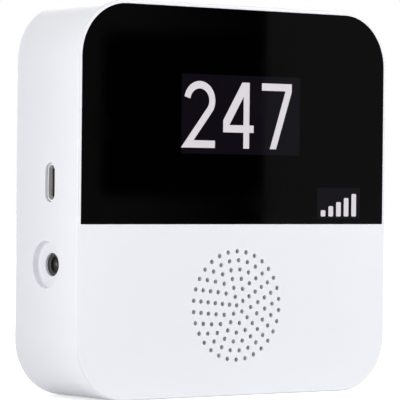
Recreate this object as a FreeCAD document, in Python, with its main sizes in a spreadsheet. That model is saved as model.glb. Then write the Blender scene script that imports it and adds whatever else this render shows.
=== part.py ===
import FreeCAD, Part
import math
import os

import Sketcher
from FreeCAD import Placement, Rotation, Vector

# A table-top alert receiver: a white square housing with a dark window above a round grille.
# X runs to the right, Y from the front face to the rear, Z up. The origin is the middle of the
# base, and a piece's "front" is how far it starts behind the front face.
# Lengths are in millimetres.

SIZES = {
    # Housing
    "body_width": 95.0,
    "body_height": 95.0,
    "body_depth": 27.4,
    "corner_radius": 13.8,
    "front_edge_radius": 0.5,
    "rear_edge_radius": 2.4,
    "wall": 2.8,
    # Window and what lights it
    "window_rim": 0.95,
    "window_bottom": 41.75,
    "window_gap": 0.06,
    "window_setback": 0.05,
    "window_thickness": 1.5,
    "tape_thickness": 0.2,
    "tape_inset": 0.24,
    "display_width": 40.0,
    "display_tall": 22.0,
    "display_lip": 1.5,
    "diffuser_thickness": 1.0,
    "light_gap": 0.3,
    "led_width": 1.6,
    "led_tall": 3.0,
    "led_thick": 0.6,
    "signal_side_inset": 14.55,
    "signal_rise": 4.8,
    "signal_width": 12.6,
    "signal_tall": 6.2,
    "guide_flange": 1.0,
    "guide_foot": 1.2,
    # Circuit board
    "board_front": 8.4,
    "board_thickness": 1.6,
    "board_edge_gap": 0.5,
    "board_button_edge": 1.2,
    "board_speaker_gap": 1.5,
    "board_boss_gap": 0.5,
    "leg_margin": 4.5,
    "leg_width": 19.2,
    "processor_side": 10.0,
    "processor_thick": 1.4,
    "processor_across": -2.0,
    "processor_drop": 13.0,
    "amplifier_side": 5.0,
    "amplifier_thick": 1.0,
    "amplifier_across": 12.0,
    "amplifier_rise": 6.5,
    "inductor_side": 7.0,
    "inductor_thick": 3.0,
    "power_inset": 11.2,
    "power_drop": 21.0,
    "capacitor_radius": 3.1,
    "capacitor_length": 5.4,
    "capacitor_pitch": 6.8,
    "wifi_width": 16.0,
    "wifi_tall": 20.0,
    "wifi_board_thick": 0.8,
    "wifi_across": -20.0,
    "wifi_drop": 2.6,
    "wifi_margin": 1.0,
    "wifi_aerial_tall": 5.0,
    "wifi_can_thick": 2.0,
    "radio_width": 14.0,
    "radio_tall": 12.0,
    "radio_thick": 2.2,
    "radio_across": 14.0,
    "radio_drop": 5.0,
    # Connectors on the left side
    "usb_height": 51.5,
    "usb_tall": 8.94,
    "usb_thick": 3.26,
    "usb_length": 7.35,
    "usb_skin": 0.3,
    "usb_setback": 0.6,
    "usb_side_gap": 0.36,
    "usb_end_gap": 0.15,
    "usb_mouth_radius": 0.2,
    "tongue_tall": 6.69,
    "tongue_thick": 0.7,
    "tongue_setback": 0.5,
    "tongue_root": 1.6,
    "jack_height": 32.0,
    "jack_body_thick": 6.0,
    "jack_body_tall": 7.0,
    "jack_body_length": 13.0,
    "jack_nose_diameter": 5.4,
    "jack_bore_diameter": 3.6,
    "jack_lip_length": 1.0,
    "jack_bevel": 0.3,
    "jack_sleeve_skin": 0.4,
    "jack_end_wall": 0.6,
    "jack_tab_width": 1.2,
    "jack_tab_reach": 1.6,
    "jack_tab_thick": 0.3,
    "recess_diameter": 11.1,
    "recess_depth": 1.9,
    "recess_rim_radius": 0.2,
    "recess_floor_radius": 0.35,
    "nose_setback": 2.45,
    "nose_gap": 0.1,
    # Grille and speaker
    "grille_height": 22.0,
    "grille_pitch": 2.2,
    "grille_hole": 1.12,
    "grille_skin": 1.4,
    "grille_margin": 1.44,
    "cloth_thickness": 0.3,
    "gasket_thickness": 0.8,
    "gasket_width": 2.8,
    "speaker_metal": 0.8,
    "basket_drop": 3.8,
    "speaker_base_radius": 12.6,
    "yoke_radius": 11.2,
    "yoke_length": 5.2,
    "yoke_skin": 1.4,
    "magnet_step": 0.2,
    "magnet_length": 3.2,
    "pole_thickness": 1.2,
    "coil_radius": 7.5,
    "coil_thickness": 0.6,
    "coil_stand": 2.0,
    "coil_length": 4.8,
    "coil_gap": 0.3,
    "surround_width": 1.9,
    "cone_edge_drop": 0.1,
    "cone_thickness": 0.4,
    "cap_rise": 1.7,
    "terminal_width": 8.0,
    "terminal_tall": 5.6,
    "terminal_thick": 1.0,
    # Screws and their bosses
    "corner_boss_shift": 4.0,
    "corner_boss_radius": 3.5,
    "collar_length": 1.2,
    "board_boss_radius": 2.4,
    "board_screw_inset": 4.0,
    "leg_screw_drop": 3.0,
    "speaker_boss_radius": 2.2,
    "speaker_boss_reach": 2.3,
    "cover_screw_radius": 1.3,
    "cover_screw_length": 10.0,
    "cover_head_radius": 2.5,
    "cover_head_height": 1.5,
    "cover_head_sink": 1.8,
    "board_screw_radius": 1.0,
    "board_screw_length": 5.0,
    "board_head_radius": 1.9,
    "board_head_height": 1.3,
    "speaker_screw_length": 2.6,
    "speaker_head_radius": 3.0,
    "speaker_head_height": 1.0,
    "screw_play": 0.05,
    "screw_room": 0.2,
    "drive_slot": 0.5,
    # Rear cover
    "cover_thickness": 2.2,
    "cover_gap": 0.15,
    "cover_chamfer": 0.3,
    "rib_inset": 0.15,
    "rib_thickness": 1.2,
    "rib_length": 2.0,
    "label_width": 46.0,
    "label_tall": 24.0,
    "label_depth": 0.3,
    "label_radius": 2.0,
    # Buttons on the right side
    "button_upper_drop": 11.2,
    "button_lower_rise": 8.5,
    "button_tall": 10.0,
    "button_thick": 3.6,
    "button_gap": 0.2,
    "button_setback": 0.1,
    "button_flange_reach": 2.25,
    "button_flange_thick": 3.0,
    "button_flange_length": 0.8,
    "button_rest_gap": 0.3,
    "button_travel": 0.4,
    "switch_length": 4.0,
    "switch_tall": 7.0,
    "switch_thick": 4.0,
    "plunger_radius": 0.9,
    "plunger_inside": 1.2,
    "plunger_gap": 0.2,
    "switch_stand_off": 1.9,
    "switch_reach": 2.1,
    # Microphone on the right side
    "microphone_height": 30.0,
    "microphone_radius": 2.95,
    "microphone_length": 2.5,
    "microphone_port": 0.6,
    "boot_radius": 4.2,
    "boot_floor": 0.8,
    "boot_length": 3.5,
    "boot_port": 0.8,
    "cradle_gap": 0.1,
    "cradle_thickness": 1.0,
    "cradle_length": 3.0,
    "microphone_lead_pitch": 1.8,
    "microphone_lead_reach": 3.4,
    "microphone_lead_step": 1.6,
    "microphone_solder_rise": 2.5,
    # Battery
    "battery_left": -14.0,
    "battery_rise": 3.0,
    "battery_width": 50.0,
    "battery_tall": 34.0,
    "battery_thick": 7.0,
    "battery_edge_radius": 2.5,
    "foam_thickness": 1.0,
    "foam_margin": 4.0,
    # Leads
    "lead_radius": 0.6,
    "thin_lead_radius": 0.4,
    "lead_pitch": 2.4,
    "plug_tall": 7.6,
    "plug_width": 6.4,
    "plug_thick": 3.4,
    "speaker_plug_rise": 3.5,
    "speaker_lead_drop": 2.2,
    "battery_plug_shift": 8.0,
    "battery_plug_rise": 7.0,
    "antenna_radius": 0.4,
    "antenna_stand": 3.0,
    "antenna_clearance": 3.6,
    "antenna_gap": 3.0,
    "antenna_foot_drop": 9.0,
    "antenna_reach": 36.0,
}

GRILLE_RINGS = 6
HOLES_PER_RING_STEP = 5
GRILLE_START_ANGLE = 30.0
DISPLAY_CELLS = 3

doc = FreeCAD.newDocument("AlertReceiver")
sheet = doc.addObject("Spreadsheet::Sheet", "Sizes")
nodes = []


class Size:
    """A number that keeps the sheet formula it comes from."""

    def __init__(self, number, formula=None):
        self.number = float(number)
        self.formula = formula or repr(float(number))

    def __add__(self, other):
        other = as_size(other)
        return Size(self.number + other.number, f"({self.formula} + {other.formula})")

    def __sub__(self, other):
        other = as_size(other)
        return Size(self.number - other.number, f"({self.formula} - ({other.formula}))")

    def __mul__(self, factor):
        factor = as_size(factor)
        return Size(self.number * factor.number, f"({self.formula} * ({factor.formula}))")

    def __truediv__(self, divisor):
        divisor = as_size(divisor)
        return Size(self.number / divisor.number, f"({self.formula} / {divisor.formula})")

    def __neg__(self):
        return self * -1

    __radd__ = __add__
    __rmul__ = __mul__

    def __rsub__(self, other):
        return as_size(other) - self


def as_size(value):
    """Take a plain number or a Size, and give a Size."""
    return value if isinstance(value, Size) else Size(value)


def fill_sheet():
    """Write each driving size in its own row, with its name as the alias."""
    for row, (name, value) in enumerate(SIZES.items(), start=1):
        sheet.set(f"A{row}", name)
        sheet.set(f"B{row}", str(value))
        sheet.setAlias(f"B{row}", name)
    doc.recompute()


def size(name):
    """Look one driving size up in the sheet."""
    return Size(sheet.get(name), f"Sizes.{name}")


def bind(thing, prop, value):
    """Set one property of an object and tie it to its formula."""
    value = as_size(value)
    if "." not in prop:
        setattr(thing, prop, value.number)
    thing.setExpression(prop, value.formula)


def publish(thing, label):
    """Name a finished sub-part as a node of the model."""
    thing.Label = label
    nodes.append(thing)
    return thing


fill_sheet()

# Sizes that several pieces share
half_width = size("body_width") / 2
half_depth = size("body_depth") / 2
inner_face = half_width - size("wall")
window_floor = size("window_setback") + size("window_thickness") + size("tape_thickness")
window_top = size("body_height") - size("window_rim")
display_height = (size("window_bottom") + window_top) / 2
signal_across = half_width - size("window_rim") - size("signal_side_inset")
signal_height = size("window_bottom") + size("signal_rise")

grille_pocket = GRILLE_RINGS * size("grille_pitch") + size("grille_hole") / 2 + size("grille_margin")
speaker_radius = grille_pocket + size("gasket_width")
speaker_front = size("wall") + size("gasket_thickness")
speaker_seat = speaker_front + size("speaker_metal")
basket_front = speaker_seat + size("basket_drop")
basket_rear = basket_front + size("speaker_metal")
coil_outer = size("coil_radius") + size("coil_thickness")
coil_hole = coil_outer + size("coil_gap")
coil_front = basket_front - size("coil_stand")

cover_front = size("body_depth") - size("cover_thickness")
head_seat = size("body_depth") - size("cover_head_sink")
boss_top = cover_front - size("collar_length")
boss_across = half_width - size("corner_radius") + size("corner_boss_shift")
boss_low = size("corner_radius") - size("corner_boss_shift")
boss_high = size("body_height") - boss_low

board_rear = size("board_front") + size("board_thickness")
board_left = size("board_edge_gap") - inner_face
board_right = inner_face - size("board_button_edge")
board_bottom = size("grille_height") + speaker_radius + size("board_speaker_gap")
board_top = boss_high - size("corner_boss_radius") - size("board_boss_gap")
leg_right = board_left + size("leg_width")

usb_front = board_rear + size("usb_thick") / 2
jack_front = board_rear + size("jack_body_thick") / 2
microphone_front = jack_front
button_front = board_rear + size("switch_stand_off")
button_upper = board_top - size("button_upper_drop")
button_lower = board_bottom + size("button_lower_rise")
battery_front = cover_front - size("foam_thickness") - size("battery_thick")
battery_bottom = board_bottom + size("battery_rise")

CORNER_BOSSES = [(side * boss_across, height) for side in (-1, 1) for height in (boss_low, boss_high)]
BOARD_SCREWS = [
    (board_left + size("board_screw_inset"), board_top - size("board_screw_inset")),
    (board_right - size("board_screw_inset"), board_top - size("board_screw_inset")),
    (board_right - size("board_screw_inset"), (button_upper + button_lower) / 2),
    (leg_right - size("board_screw_inset"), board_bottom - size("leg_screw_drop")),
]
speaker_boss_shift = (speaker_radius + size("speaker_boss_reach")) * math.sqrt(0.5)
SPEAKER_SCREWS = [(side * speaker_boss_shift, size("grille_height") + rise * speaker_boss_shift)
                  for side in (-1, 1) for rise in (-1, 1)]


# Part primitives, placed by how far they start behind the front face

def place(thing, across, front, height):
    """Tie an object's position to its formulas."""
    bind(thing, "Placement.Base.x", across)
    bind(thing, "Placement.Base.y", as_size(front) - half_depth)
    bind(thing, "Placement.Base.z", height)
    return thing


def block(name, across, height, width, tall, front, thick):
    """A rectangular block with its middle at (across, height) in the front view."""
    box = doc.addObject("Part::Box", name)
    bind(box, "Length", width)
    bind(box, "Width", thick)
    bind(box, "Height", tall)
    return place(box, as_size(across) - as_size(width) / 2, front, as_size(height) - as_size(tall) / 2)


def rod(name, across, height, radius, front, length):
    """A round rod whose axis runs from front to rear."""
    cylinder = doc.addObject("Part::Cylinder", name)
    cylinder.Placement = Placement(Vector(), Rotation(Vector(1, 0, 0), -90))
    bind(cylinder, "Radius", radius)
    bind(cylinder, "Height", length)
    return place(cylinder, across, front, height)


def side_rod(name, start, front, height, radius, length):
    """A round rod whose axis runs to the right from the given place."""
    cylinder = doc.addObject("Part::Cylinder", name)
    cylinder.Placement = Placement(Vector(), Rotation(Vector(0, 1, 0), 90))
    bind(cylinder, "Radius", radius)
    bind(cylinder, "Height", length)
    return place(cylinder, start, front, height)


def cut(name, base, tool):
    """What is left of one solid after another is taken away."""
    result = doc.addObject("Part::Cut", name)
    result.Base = base
    result.Tool = tool
    return result


def fuse(name, pieces):
    """Several solids joined into one."""
    result = doc.addObject("Part::MultiFuse", name)
    result.Shapes = pieces
    return result


def group(name, pieces):
    """Several separate solids that share one node."""
    result = doc.addObject("Part::Compound", name)
    result.Links = pieces
    return result


# Sketches and the features made from them

def new_sketch(body, name, role, offset):
    """A sketch on one of the body's own origin planes, moved by three sizes."""
    sketch = body.newObject("Sketcher::SketchObject", name)
    plane = next(item for item in body.Origin.OriginFeatures if item.Role == role)
    sketch.AttachmentSupport = (plane, "")
    sketch.MapMode = "FlatFace"
    for axis, value in zip("xyz", offset):
        bind(sketch, f"AttachmentOffset.Base.{axis}", value)
    return sketch


def front_sketch(body, name, front, across=0, height=0):
    """A sketch seen from the front, lying the given depth behind the front face."""
    return new_sketch(body, name, "XZ_Plane", (across, height, half_depth - front))


def side_sketch(body, name, across):
    """A sketch seen from the right, whose local X is depth and local Y is height."""
    return new_sketch(body, name, "YZ_Plane", (-half_depth, 0, across))


def turning_sketch(body, name):
    """A sketch of depth and radius about the axis of the grille."""
    return new_sketch(body, name, "YZ_Plane", (-half_depth, size("grille_height"), 0))


def fix(sketch, kind, *where, value):
    """Add one driving dimension and tie it to its formula."""
    value = as_size(value)
    index = sketch.addConstraint(Sketcher.Constraint(kind, *where, value.number))
    sketch.setExpression(f"Constraints[{index}]", value.formula)


def draw_circle(sketch, across, height, radius):
    """A circle tied by its centre and radius."""
    centre = Vector(as_size(across).number, as_size(height).number, 0)
    edge = sketch.addGeometry(Part.Circle(centre, Vector(0, 0, 1), as_size(radius).number))
    fix(sketch, "DistanceX", edge, 3, value=across)
    fix(sketch, "DistanceY", edge, 3, value=height)
    fix(sketch, "Radius", edge, value=radius)


def draw_polygon(sketch, points):
    """A closed polygon, each corner tied by its two coordinates."""
    spots = [Vector(as_size(x).number, as_size(y).number, 0) for x, y in points]
    edges = [sketch.addGeometry(Part.LineSegment(spot, spots[(i + 1) % len(spots)]))
             for i, spot in enumerate(spots)]
    for i, edge in enumerate(edges):
        following = edges[(i + 1) % len(edges)]
        sketch.addConstraint(Sketcher.Constraint("Coincident", edge, 2, following, 1))
        fix(sketch, "DistanceX", edge, 1, value=points[i][0])
        fix(sketch, "DistanceY", edge, 1, value=points[i][1])


def draw_rounded(sketch, left, right, low, high, radius, rounded=(True, True, True, True)):
    """A rectangle whose corners are rounded where asked.

    The corners run low right, high right, high left, low left.
    """
    left, right, low, high, radius = (as_size(value) for value in (left, right, low, high, radius))
    corners = [(right, low), (right, high), (left, high), (left, low)]
    turns = [(-1, 1, 270), (-1, -1, 0), (1, -1, 90), (1, 1, 180)]
    entries, exits, arcs = [], [], []
    for (x, y), (toward_x, toward_y, start), is_round in zip(corners, turns, rounded):
        spot = Vector(x.number, y.number, 0)
        if not is_round:
            entries.append(spot)
            exits.append(spot)
            arcs.append(None)
            continue
        r = radius.number
        centre = spot + Vector(toward_x * r, toward_y * r, 0)
        arc = Part.ArcOfCircle(Part.Circle(centre, Vector(0, 0, 1), r),
                               math.radians(start), math.radians(start + 90))
        arcs.append(sketch.addGeometry(arc))
        entries.append(arc.StartPoint)
        exits.append(arc.EndPoint)
    lines = [sketch.addGeometry(Part.LineSegment(exits[i], entries[(i + 1) % 4])) for i in range(4)]
    for i, arc in enumerate(arcs):
        before, after = lines[i - 1], lines[i]
        if arc is None:
            sketch.addConstraint(Sketcher.Constraint("Coincident", before, 2, after, 1))
        else:
            sketch.addConstraint(Sketcher.Constraint("Tangent", before, 2, arc, 1))
            sketch.addConstraint(Sketcher.Constraint("Tangent", arc, 2, after, 1))
            fix(sketch, "Radius", arc, value=radius)
    for line, kind in zip(lines, ("Vertical", "Horizontal", "Vertical", "Horizontal")):
        sketch.addConstraint(Sketcher.Constraint(kind, line))
    for line, kind, value in zip(lines, ("DistanceX", "DistanceY") * 2, (right, high, left, low)):
        fix(sketch, kind, line, 1, value=value)


def draw_slot(sketch, across, height, tall, thick):
    """An upright slot with round ends."""
    across, height, tall, thick = (as_size(value) for value in (across, height, tall, thick))
    radius = thick / 2
    reach = tall / 2 - radius
    x, r = across.number, radius.number
    ends = []
    for centre, start in ((height + reach, 0), (height - reach, 180)):
        ring = Part.Circle(Vector(x, centre.number, 0), Vector(0, 0, 1), r)
        arc = Part.ArcOfCircle(ring, math.radians(start), math.radians(start + 180))
        ends.append(sketch.addGeometry(arc))
    top, bottom = ((height + reach).number, (height - reach).number)
    left = sketch.addGeometry(Part.LineSegment(Vector(x - r, top, 0), Vector(x - r, bottom, 0)))
    right = sketch.addGeometry(Part.LineSegment(Vector(x + r, bottom, 0), Vector(x + r, top, 0)))
    for first, second in ((ends[0], left), (left, ends[1]), (ends[1], right), (right, ends[0])):
        sketch.addConstraint(Sketcher.Constraint("Tangent", first, 2, second, 1))
    sketch.addConstraint(Sketcher.Constraint("Vertical", left))
    sketch.addConstraint(Sketcher.Constraint("Equal", ends[0], ends[1]))
    fix(sketch, "Radius", ends[0], value=radius)
    fix(sketch, "DistanceX", ends[0], 3, value=across)
    fix(sketch, "DistanceY", ends[0], 3, value=height + reach)
    fix(sketch, "DistanceY", ends[1], 3, value=height - reach)


def new_body(name):
    """An empty body, which will be one node."""
    return doc.addObject("PartDesign::Body", name)


def add_feature(body, kind, sketch, name, length, against):
    """A pad or pocket of a sketch; against turns it to the other side of the sketch."""
    doc.recompute()
    feature = body.newObject(f"PartDesign::{kind}", name)
    feature.Profile = sketch
    bind(feature, "Length", length)
    feature.Reversed = against
    sketch.Visibility = False
    return feature


def pad_rearward(body, sketch, name, length):
    """Add material from a front sketch towards the rear."""
    return add_feature(body, "Pad", sketch, name, length, True)


def cut_rearward(body, sketch, name, length):
    """Cut from a front sketch towards the rear."""
    return add_feature(body, "Pocket", sketch, name, length, False)


def cut_forward(body, sketch, name, length):
    """Cut from a front sketch towards the front."""
    return add_feature(body, "Pocket", sketch, name, length, True)


def turned(name, points):
    """A ring-shaped body, its section given as depth and radius about the grille's axis."""
    body = new_body(name)
    sketch = turning_sketch(body, f"{name}_section")
    draw_polygon(sketch, points)
    doc.recompute()
    turn = body.newObject("PartDesign::Revolution", f"{name}_turn")
    turn.Profile = sketch
    turn.ReferenceAxis = (sketch, ["H_Axis"])
    turn.Angle = 360
    return body


def edges_that(shape, test):
    """The names of the edges that pass a test of their points."""
    return [f"Edge{i}" for i, edge in enumerate(shape.Edges, start=1) if test(edge)]


def lies_at_depth(front):
    """A test for edges lying flat at one depth behind the front face."""
    level = (as_size(front) - half_depth).number
    return lambda edge: all(abs(vertex.Y - level) < 1e-6 for vertex in edge.Vertexes)


def is_ring(radius, across):
    """A test for round edges of one radius at one place across."""
    return lambda edge: (isinstance(edge.Curve, Part.Circle)
                         and abs(edge.Curve.Radius - as_size(radius).number) < 1e-6
                         and abs(edge.Curve.Center.x - as_size(across).number) < 1e-6)


def lies_across(across, height, reach):
    """A test for edges that lie at one place across, no further from a height than the reach."""
    return lambda edge: all(abs(vertex.X - as_size(across).number) < 1e-6
                            and abs(vertex.Z - as_size(height).number) < as_size(reach).number
                            for vertex in edge.Vertexes)


def round_edges(body, feature, name, kind, amount, test):
    """Round or bevel the edges of a feature that pass a test."""
    doc.recompute()
    dressed = body.newObject(f"PartDesign::{kind}", name)
    dressed.Base = (feature, edges_that(feature.Shape, test))
    bind(dressed, "Radius" if kind == "Fillet" else "Size", amount)
    return dressed


# Outlines that more than one piece follows

def draw_housing_outline(sketch, inset):
    """The square outline with its large corners, drawn in by one amount."""
    inset = as_size(inset)
    draw_rounded(sketch, inset - half_width, half_width - inset, inset, size("body_height") - inset,
                 size("corner_radius") - inset)


def draw_window_outline(sketch, inset):
    """The window's outline: square at the bottom, rounded with the housing at the top."""
    rim = size("window_rim") + inset
    draw_rounded(sketch, rim - half_width, half_width - rim, size("window_bottom") + inset,
                 window_top - inset, size("corner_radius") - rim, (False, True, True, False))


def draw_centred(sketch, across, height, width, tall):
    """A plain rectangle about a middle point."""
    across, height, width, tall = (as_size(value) for value in (across, height, width, tall))
    left, right = across - width / 2, across + width / 2
    low, high = height - tall / 2, height + tall / 2
    draw_polygon(sketch, [(left, low), (right, low), (right, high), (left, high)])


def draw_light_openings(sketch, inset=0):
    """The two openings behind the window that let light through."""
    draw_centred(sketch, 0, display_height,
                 size("display_width") - 2 * as_size(inset), size("display_tall") - 2 * as_size(inset))
    draw_centred(sketch, signal_across, signal_height, size("signal_width"),
                 size("signal_tall"))


def draw_board_outline(sketch):
    """The board: full width behind the window, with a leg down to the jack."""
    leg_low = size("jack_height") - size("jack_body_tall") / 2 - size("leg_margin")
    draw_polygon(sketch, [(board_left, leg_low), (leg_right, leg_low), (leg_right, board_bottom),
                          (board_right, board_bottom), (board_right, board_top), (board_left, board_top)])


# Housing

def make_front_housing():
    """The front shell, with its bosses, openings and grille."""
    body = new_body("FrontHousing")
    shell = front_sketch(body, "shell_outline", Size(0))
    draw_housing_outline(shell, 0)
    shell_pad = pad_rearward(body, shell, "shell", size("body_depth"))
    front_round = round_edges(body, shell_pad, "front_round", "Fillet", size("front_edge_radius"),
                              lies_at_depth(0))
    round_edges(body, front_round, "rear_round", "Fillet", size("rear_edge_radius"),
                lies_at_depth(size("body_depth")))

    inside = front_sketch(body, "inside_outline", size("wall"))
    draw_housing_outline(inside, size("wall"))
    cut_rearward(body, inside, "inside", size("body_depth") - size("wall"))

    add_bosses(body, "corner_boss", CORNER_BOSSES, size("corner_boss_radius"), boss_top,
               size("cover_screw_radius"), size("cover_screw_length"))
    board_pilot = size("board_screw_length") - size("board_thickness") + size("screw_room")
    add_bosses(body, "board_boss", BOARD_SCREWS, size("board_boss_radius"), size("board_front"),
               size("board_screw_radius"), board_pilot)
    add_bosses(body, "speaker_boss", SPEAKER_SCREWS, size("speaker_boss_radius"), speaker_seat,
               size("board_screw_radius"), size("speaker_screw_length") + size("screw_room"))
    add_microphone_cradle(body)

    window = front_sketch(body, "window_seat_outline", Size(0))
    draw_window_outline(window, 0)
    cut_rearward(body, window, "window_seat", window_floor)
    lights = front_sketch(body, "light_openings_outline", Size(0))
    draw_light_openings(lights)
    cut_rearward(body, lights, "light_openings", size("wall"))

    add_side_openings(body)
    add_grille(body)
    return publish(body, "front_housing")


def add_bosses(body, name, places, radius, top, screw_radius, depth):
    """Round bosses on the front wall, each with its pilot hole."""
    posts = front_sketch(body, f"{name}_outline", size("wall") - size("screw_play"))
    for across, height in places:
        draw_circle(posts, across, height, radius)
    pad_rearward(body, posts, name, top - size("wall") + size("screw_play"))
    holes = front_sketch(body, f"{name}_pilot_outline", top)
    for across, height in places:
        draw_circle(holes, across, height, screw_radius + size("screw_play"))
    cut_forward(body, holes, f"{name}_pilot", depth)


def add_microphone_cradle(body):
    """The ring on the right wall that holds the microphone's boot."""
    cradle = side_sketch(body, "cradle_outline", inner_face + size("screw_play"))
    inner = size("boot_radius") + size("cradle_gap")
    for radius in (inner, inner + size("cradle_thickness")):
        draw_circle(cradle, microphone_front, size("microphone_height"), radius)
    add_feature(body, "Pad", cradle, "cradle", size("cradle_length") + size("screw_play"), True)


def add_side_openings(body):
    """The holes through the left and right walls."""
    usb = side_sketch(body, "usb_slot_outline", -inner_face)
    slot_tall = size("usb_tall") + 2 * size("usb_end_gap")
    draw_slot(usb, usb_front, size("usb_height"), slot_tall, size("usb_thick") + 2 * size("usb_side_gap"))
    slot = add_feature(body, "Pocket", usb, "usb_slot", size("wall"), False)
    round_edges(body, slot, "usb_mouth", "Fillet", size("usb_mouth_radius"),
                lies_across(-half_width, size("usb_height"), slot_tall / 2))

    recess = side_sketch(body, "jack_recess_outline", size("recess_depth") - half_width)
    recess_radius = size("recess_diameter") / 2
    draw_circle(recess, jack_front, size("jack_height"), recess_radius)
    bowl = add_feature(body, "Pocket", recess, "jack_recess", size("recess_depth"), False)
    rim = round_edges(body, bowl, "recess_rim", "Fillet", size("recess_rim_radius"),
                      is_ring(recess_radius, -half_width))
    round_edges(body, rim, "recess_floor", "Fillet", size("recess_floor_radius"),
                is_ring(recess_radius, size("recess_depth") - half_width))
    nose = side_sketch(body, "nose_hole_outline", -inner_face)
    draw_circle(nose, jack_front, size("jack_height"), size("jack_nose_diameter") / 2 + size("nose_gap"))
    add_feature(body, "Pocket", nose, "nose_hole", size("wall") - size("recess_depth"), False)

    buttons = side_sketch(body, "button_holes_outline", inner_face)
    for height in (button_upper, button_lower):
        draw_slot(buttons, button_front, height, size("button_tall") + 2 * size("button_gap"),
                  size("button_thick") + 2 * size("button_gap"))
    add_feature(body, "Pocket", buttons, "button_holes", size("wall"), True)
    port = side_sketch(body, "microphone_port_outline", inner_face)
    draw_circle(port, microphone_front, size("microphone_height"), size("microphone_port"))
    add_feature(body, "Pocket", port, "microphone_port", size("wall"), True)


def add_grille(body):
    """The thinned wall behind the grille, its middle hole and its rings of holes."""
    thin = front_sketch(body, "grille_thin_outline", size("wall"))
    draw_circle(thin, 0, size("grille_height"), grille_pocket)
    cut_forward(body, thin, "grille_thin", size("wall") - size("grille_skin"))
    hole_radius = size("grille_hole") / 2
    middle = front_sketch(body, "middle_hole_outline", Size(0))
    draw_circle(middle, 0, size("grille_height"), hole_radius)
    cut_rearward(body, middle, "middle_hole", size("wall"))
    angle = math.radians(GRILLE_START_ANGLE)
    for ring in range(1, GRILLE_RINGS + 1):
        sketch = front_sketch(body, f"ring_{ring}_outline", Size(0), height=size("grille_height"))
        reach = ring * size("grille_pitch")
        draw_circle(sketch, math.cos(angle) * reach, math.sin(angle) * reach, hole_radius)
        hole = cut_rearward(body, sketch, f"ring_{ring}_hole", size("wall"))
        pattern = body.newObject("PartDesign::PolarPattern", f"ring_{ring}")
        pattern.Originals = [hole]
        pattern.Axis = (sketch, ["N_Axis"])
        pattern.Angle = 360
        pattern.Occurrences = ring * HOLES_PER_RING_STEP
        body.Tip = pattern
        doc.recompute()


def make_rear_cover():
    """The flat cover set into the rear of the housing."""
    body = new_body("RearCover")
    edge = size("wall") + size("cover_gap")
    plate = front_sketch(body, "plate_outline", cover_front)
    draw_housing_outline(plate, edge)
    plate_pad = pad_rearward(body, plate, "plate", size("cover_thickness"))
    round_edges(body, plate_pad, "plate_bevel", "Chamfer", size("cover_chamfer"),
                lies_at_depth(size("body_depth")))
    rib = front_sketch(body, "rib_outline", cover_front - size("rib_length"))
    rib_edge = edge + size("rib_inset")
    draw_housing_outline(rib, rib_edge)
    draw_housing_outline(rib, rib_edge + size("rib_thickness"))
    pad_rearward(body, rib, "rib", size("rib_length"))
    collars = front_sketch(body, "collar_outline", boss_top)
    for across, height in CORNER_BOSSES:
        draw_circle(collars, across, height, size("corner_boss_radius"))
    pad_rearward(body, collars, "collars", size("collar_length"))
    sinks = front_sketch(body, "sink_outline", head_seat)
    through = front_sketch(body, "screw_hole_outline", boss_top)
    for across, height in CORNER_BOSSES:
        draw_circle(sinks, across, height, size("cover_head_radius") + size("screw_room"))
        draw_circle(through, across, height, size("cover_screw_radius") + size("screw_room"))
    cut_rearward(body, sinks, "sinks", size("cover_head_sink"))
    cut_rearward(body, through, "screw_holes", head_seat - boss_top)
    label = front_sketch(body, "label_outline", size("body_depth") - size("label_depth"))
    middle = size("body_height") / 2
    draw_rounded(label, -size("label_width") / 2, size("label_width") / 2, middle - size("label_tall") / 2,
                 middle + size("label_tall") / 2, size("label_radius"))
    cut_rearward(body, label, "label_field", size("label_depth"))
    return publish(body, "rear_cover")


def make_screws(label, places, seat, head_radius, head_height, shank_radius, shank_length):
    """One node of alike screws that point to the front, each with a crossed drive."""
    screws = []
    for number, (across, height) in enumerate(places, start=1):
        name = f"{label}_{number}"
        head = rod(f"{name}_head", across, height, head_radius, seat, head_height)
        shank = rod(f"{name}_shank", across, height, shank_radius, seat - shank_length, shank_length)
        slot = size("drive_slot")
        drive_front = seat + head_height / 2
        bars = [
            block(f"{name}_drive_{i}", across, height, wide, tall, drive_front, head_height)
            for i, (wide, tall) in enumerate(((head_radius, slot), (slot, head_radius)), start=1)
        ]
        solid = fuse(f"{name}_solid", [head, shank])
        screws.append(cut(name, solid, fuse(f"{name}_drive", bars)))
    publish(group(label, screws), label)


# Window and lights

def make_window():
    """The dark window and the tape that holds it."""
    window = new_body("DisplayWindow")
    outline = front_sketch(window, "glass_outline", size("window_setback"))
    draw_window_outline(outline, size("window_gap"))
    pad_rearward(window, outline, "glass", size("window_thickness"))
    publish(window, "display_window")

    tape = new_body("WindowTape")
    outline = front_sketch(tape, "tape_outline", window_floor - size("tape_thickness"))
    draw_window_outline(outline, size("tape_inset"))
    pad_rearward(tape, outline, "tape", size("tape_thickness"))
    holes = front_sketch(tape, "tape_holes_outline", window_floor - size("tape_thickness"))
    draw_light_openings(holes)
    cut_rearward(tape, holes, "tape_holes", size("tape_thickness"))
    publish(tape, "window_tape")


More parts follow.
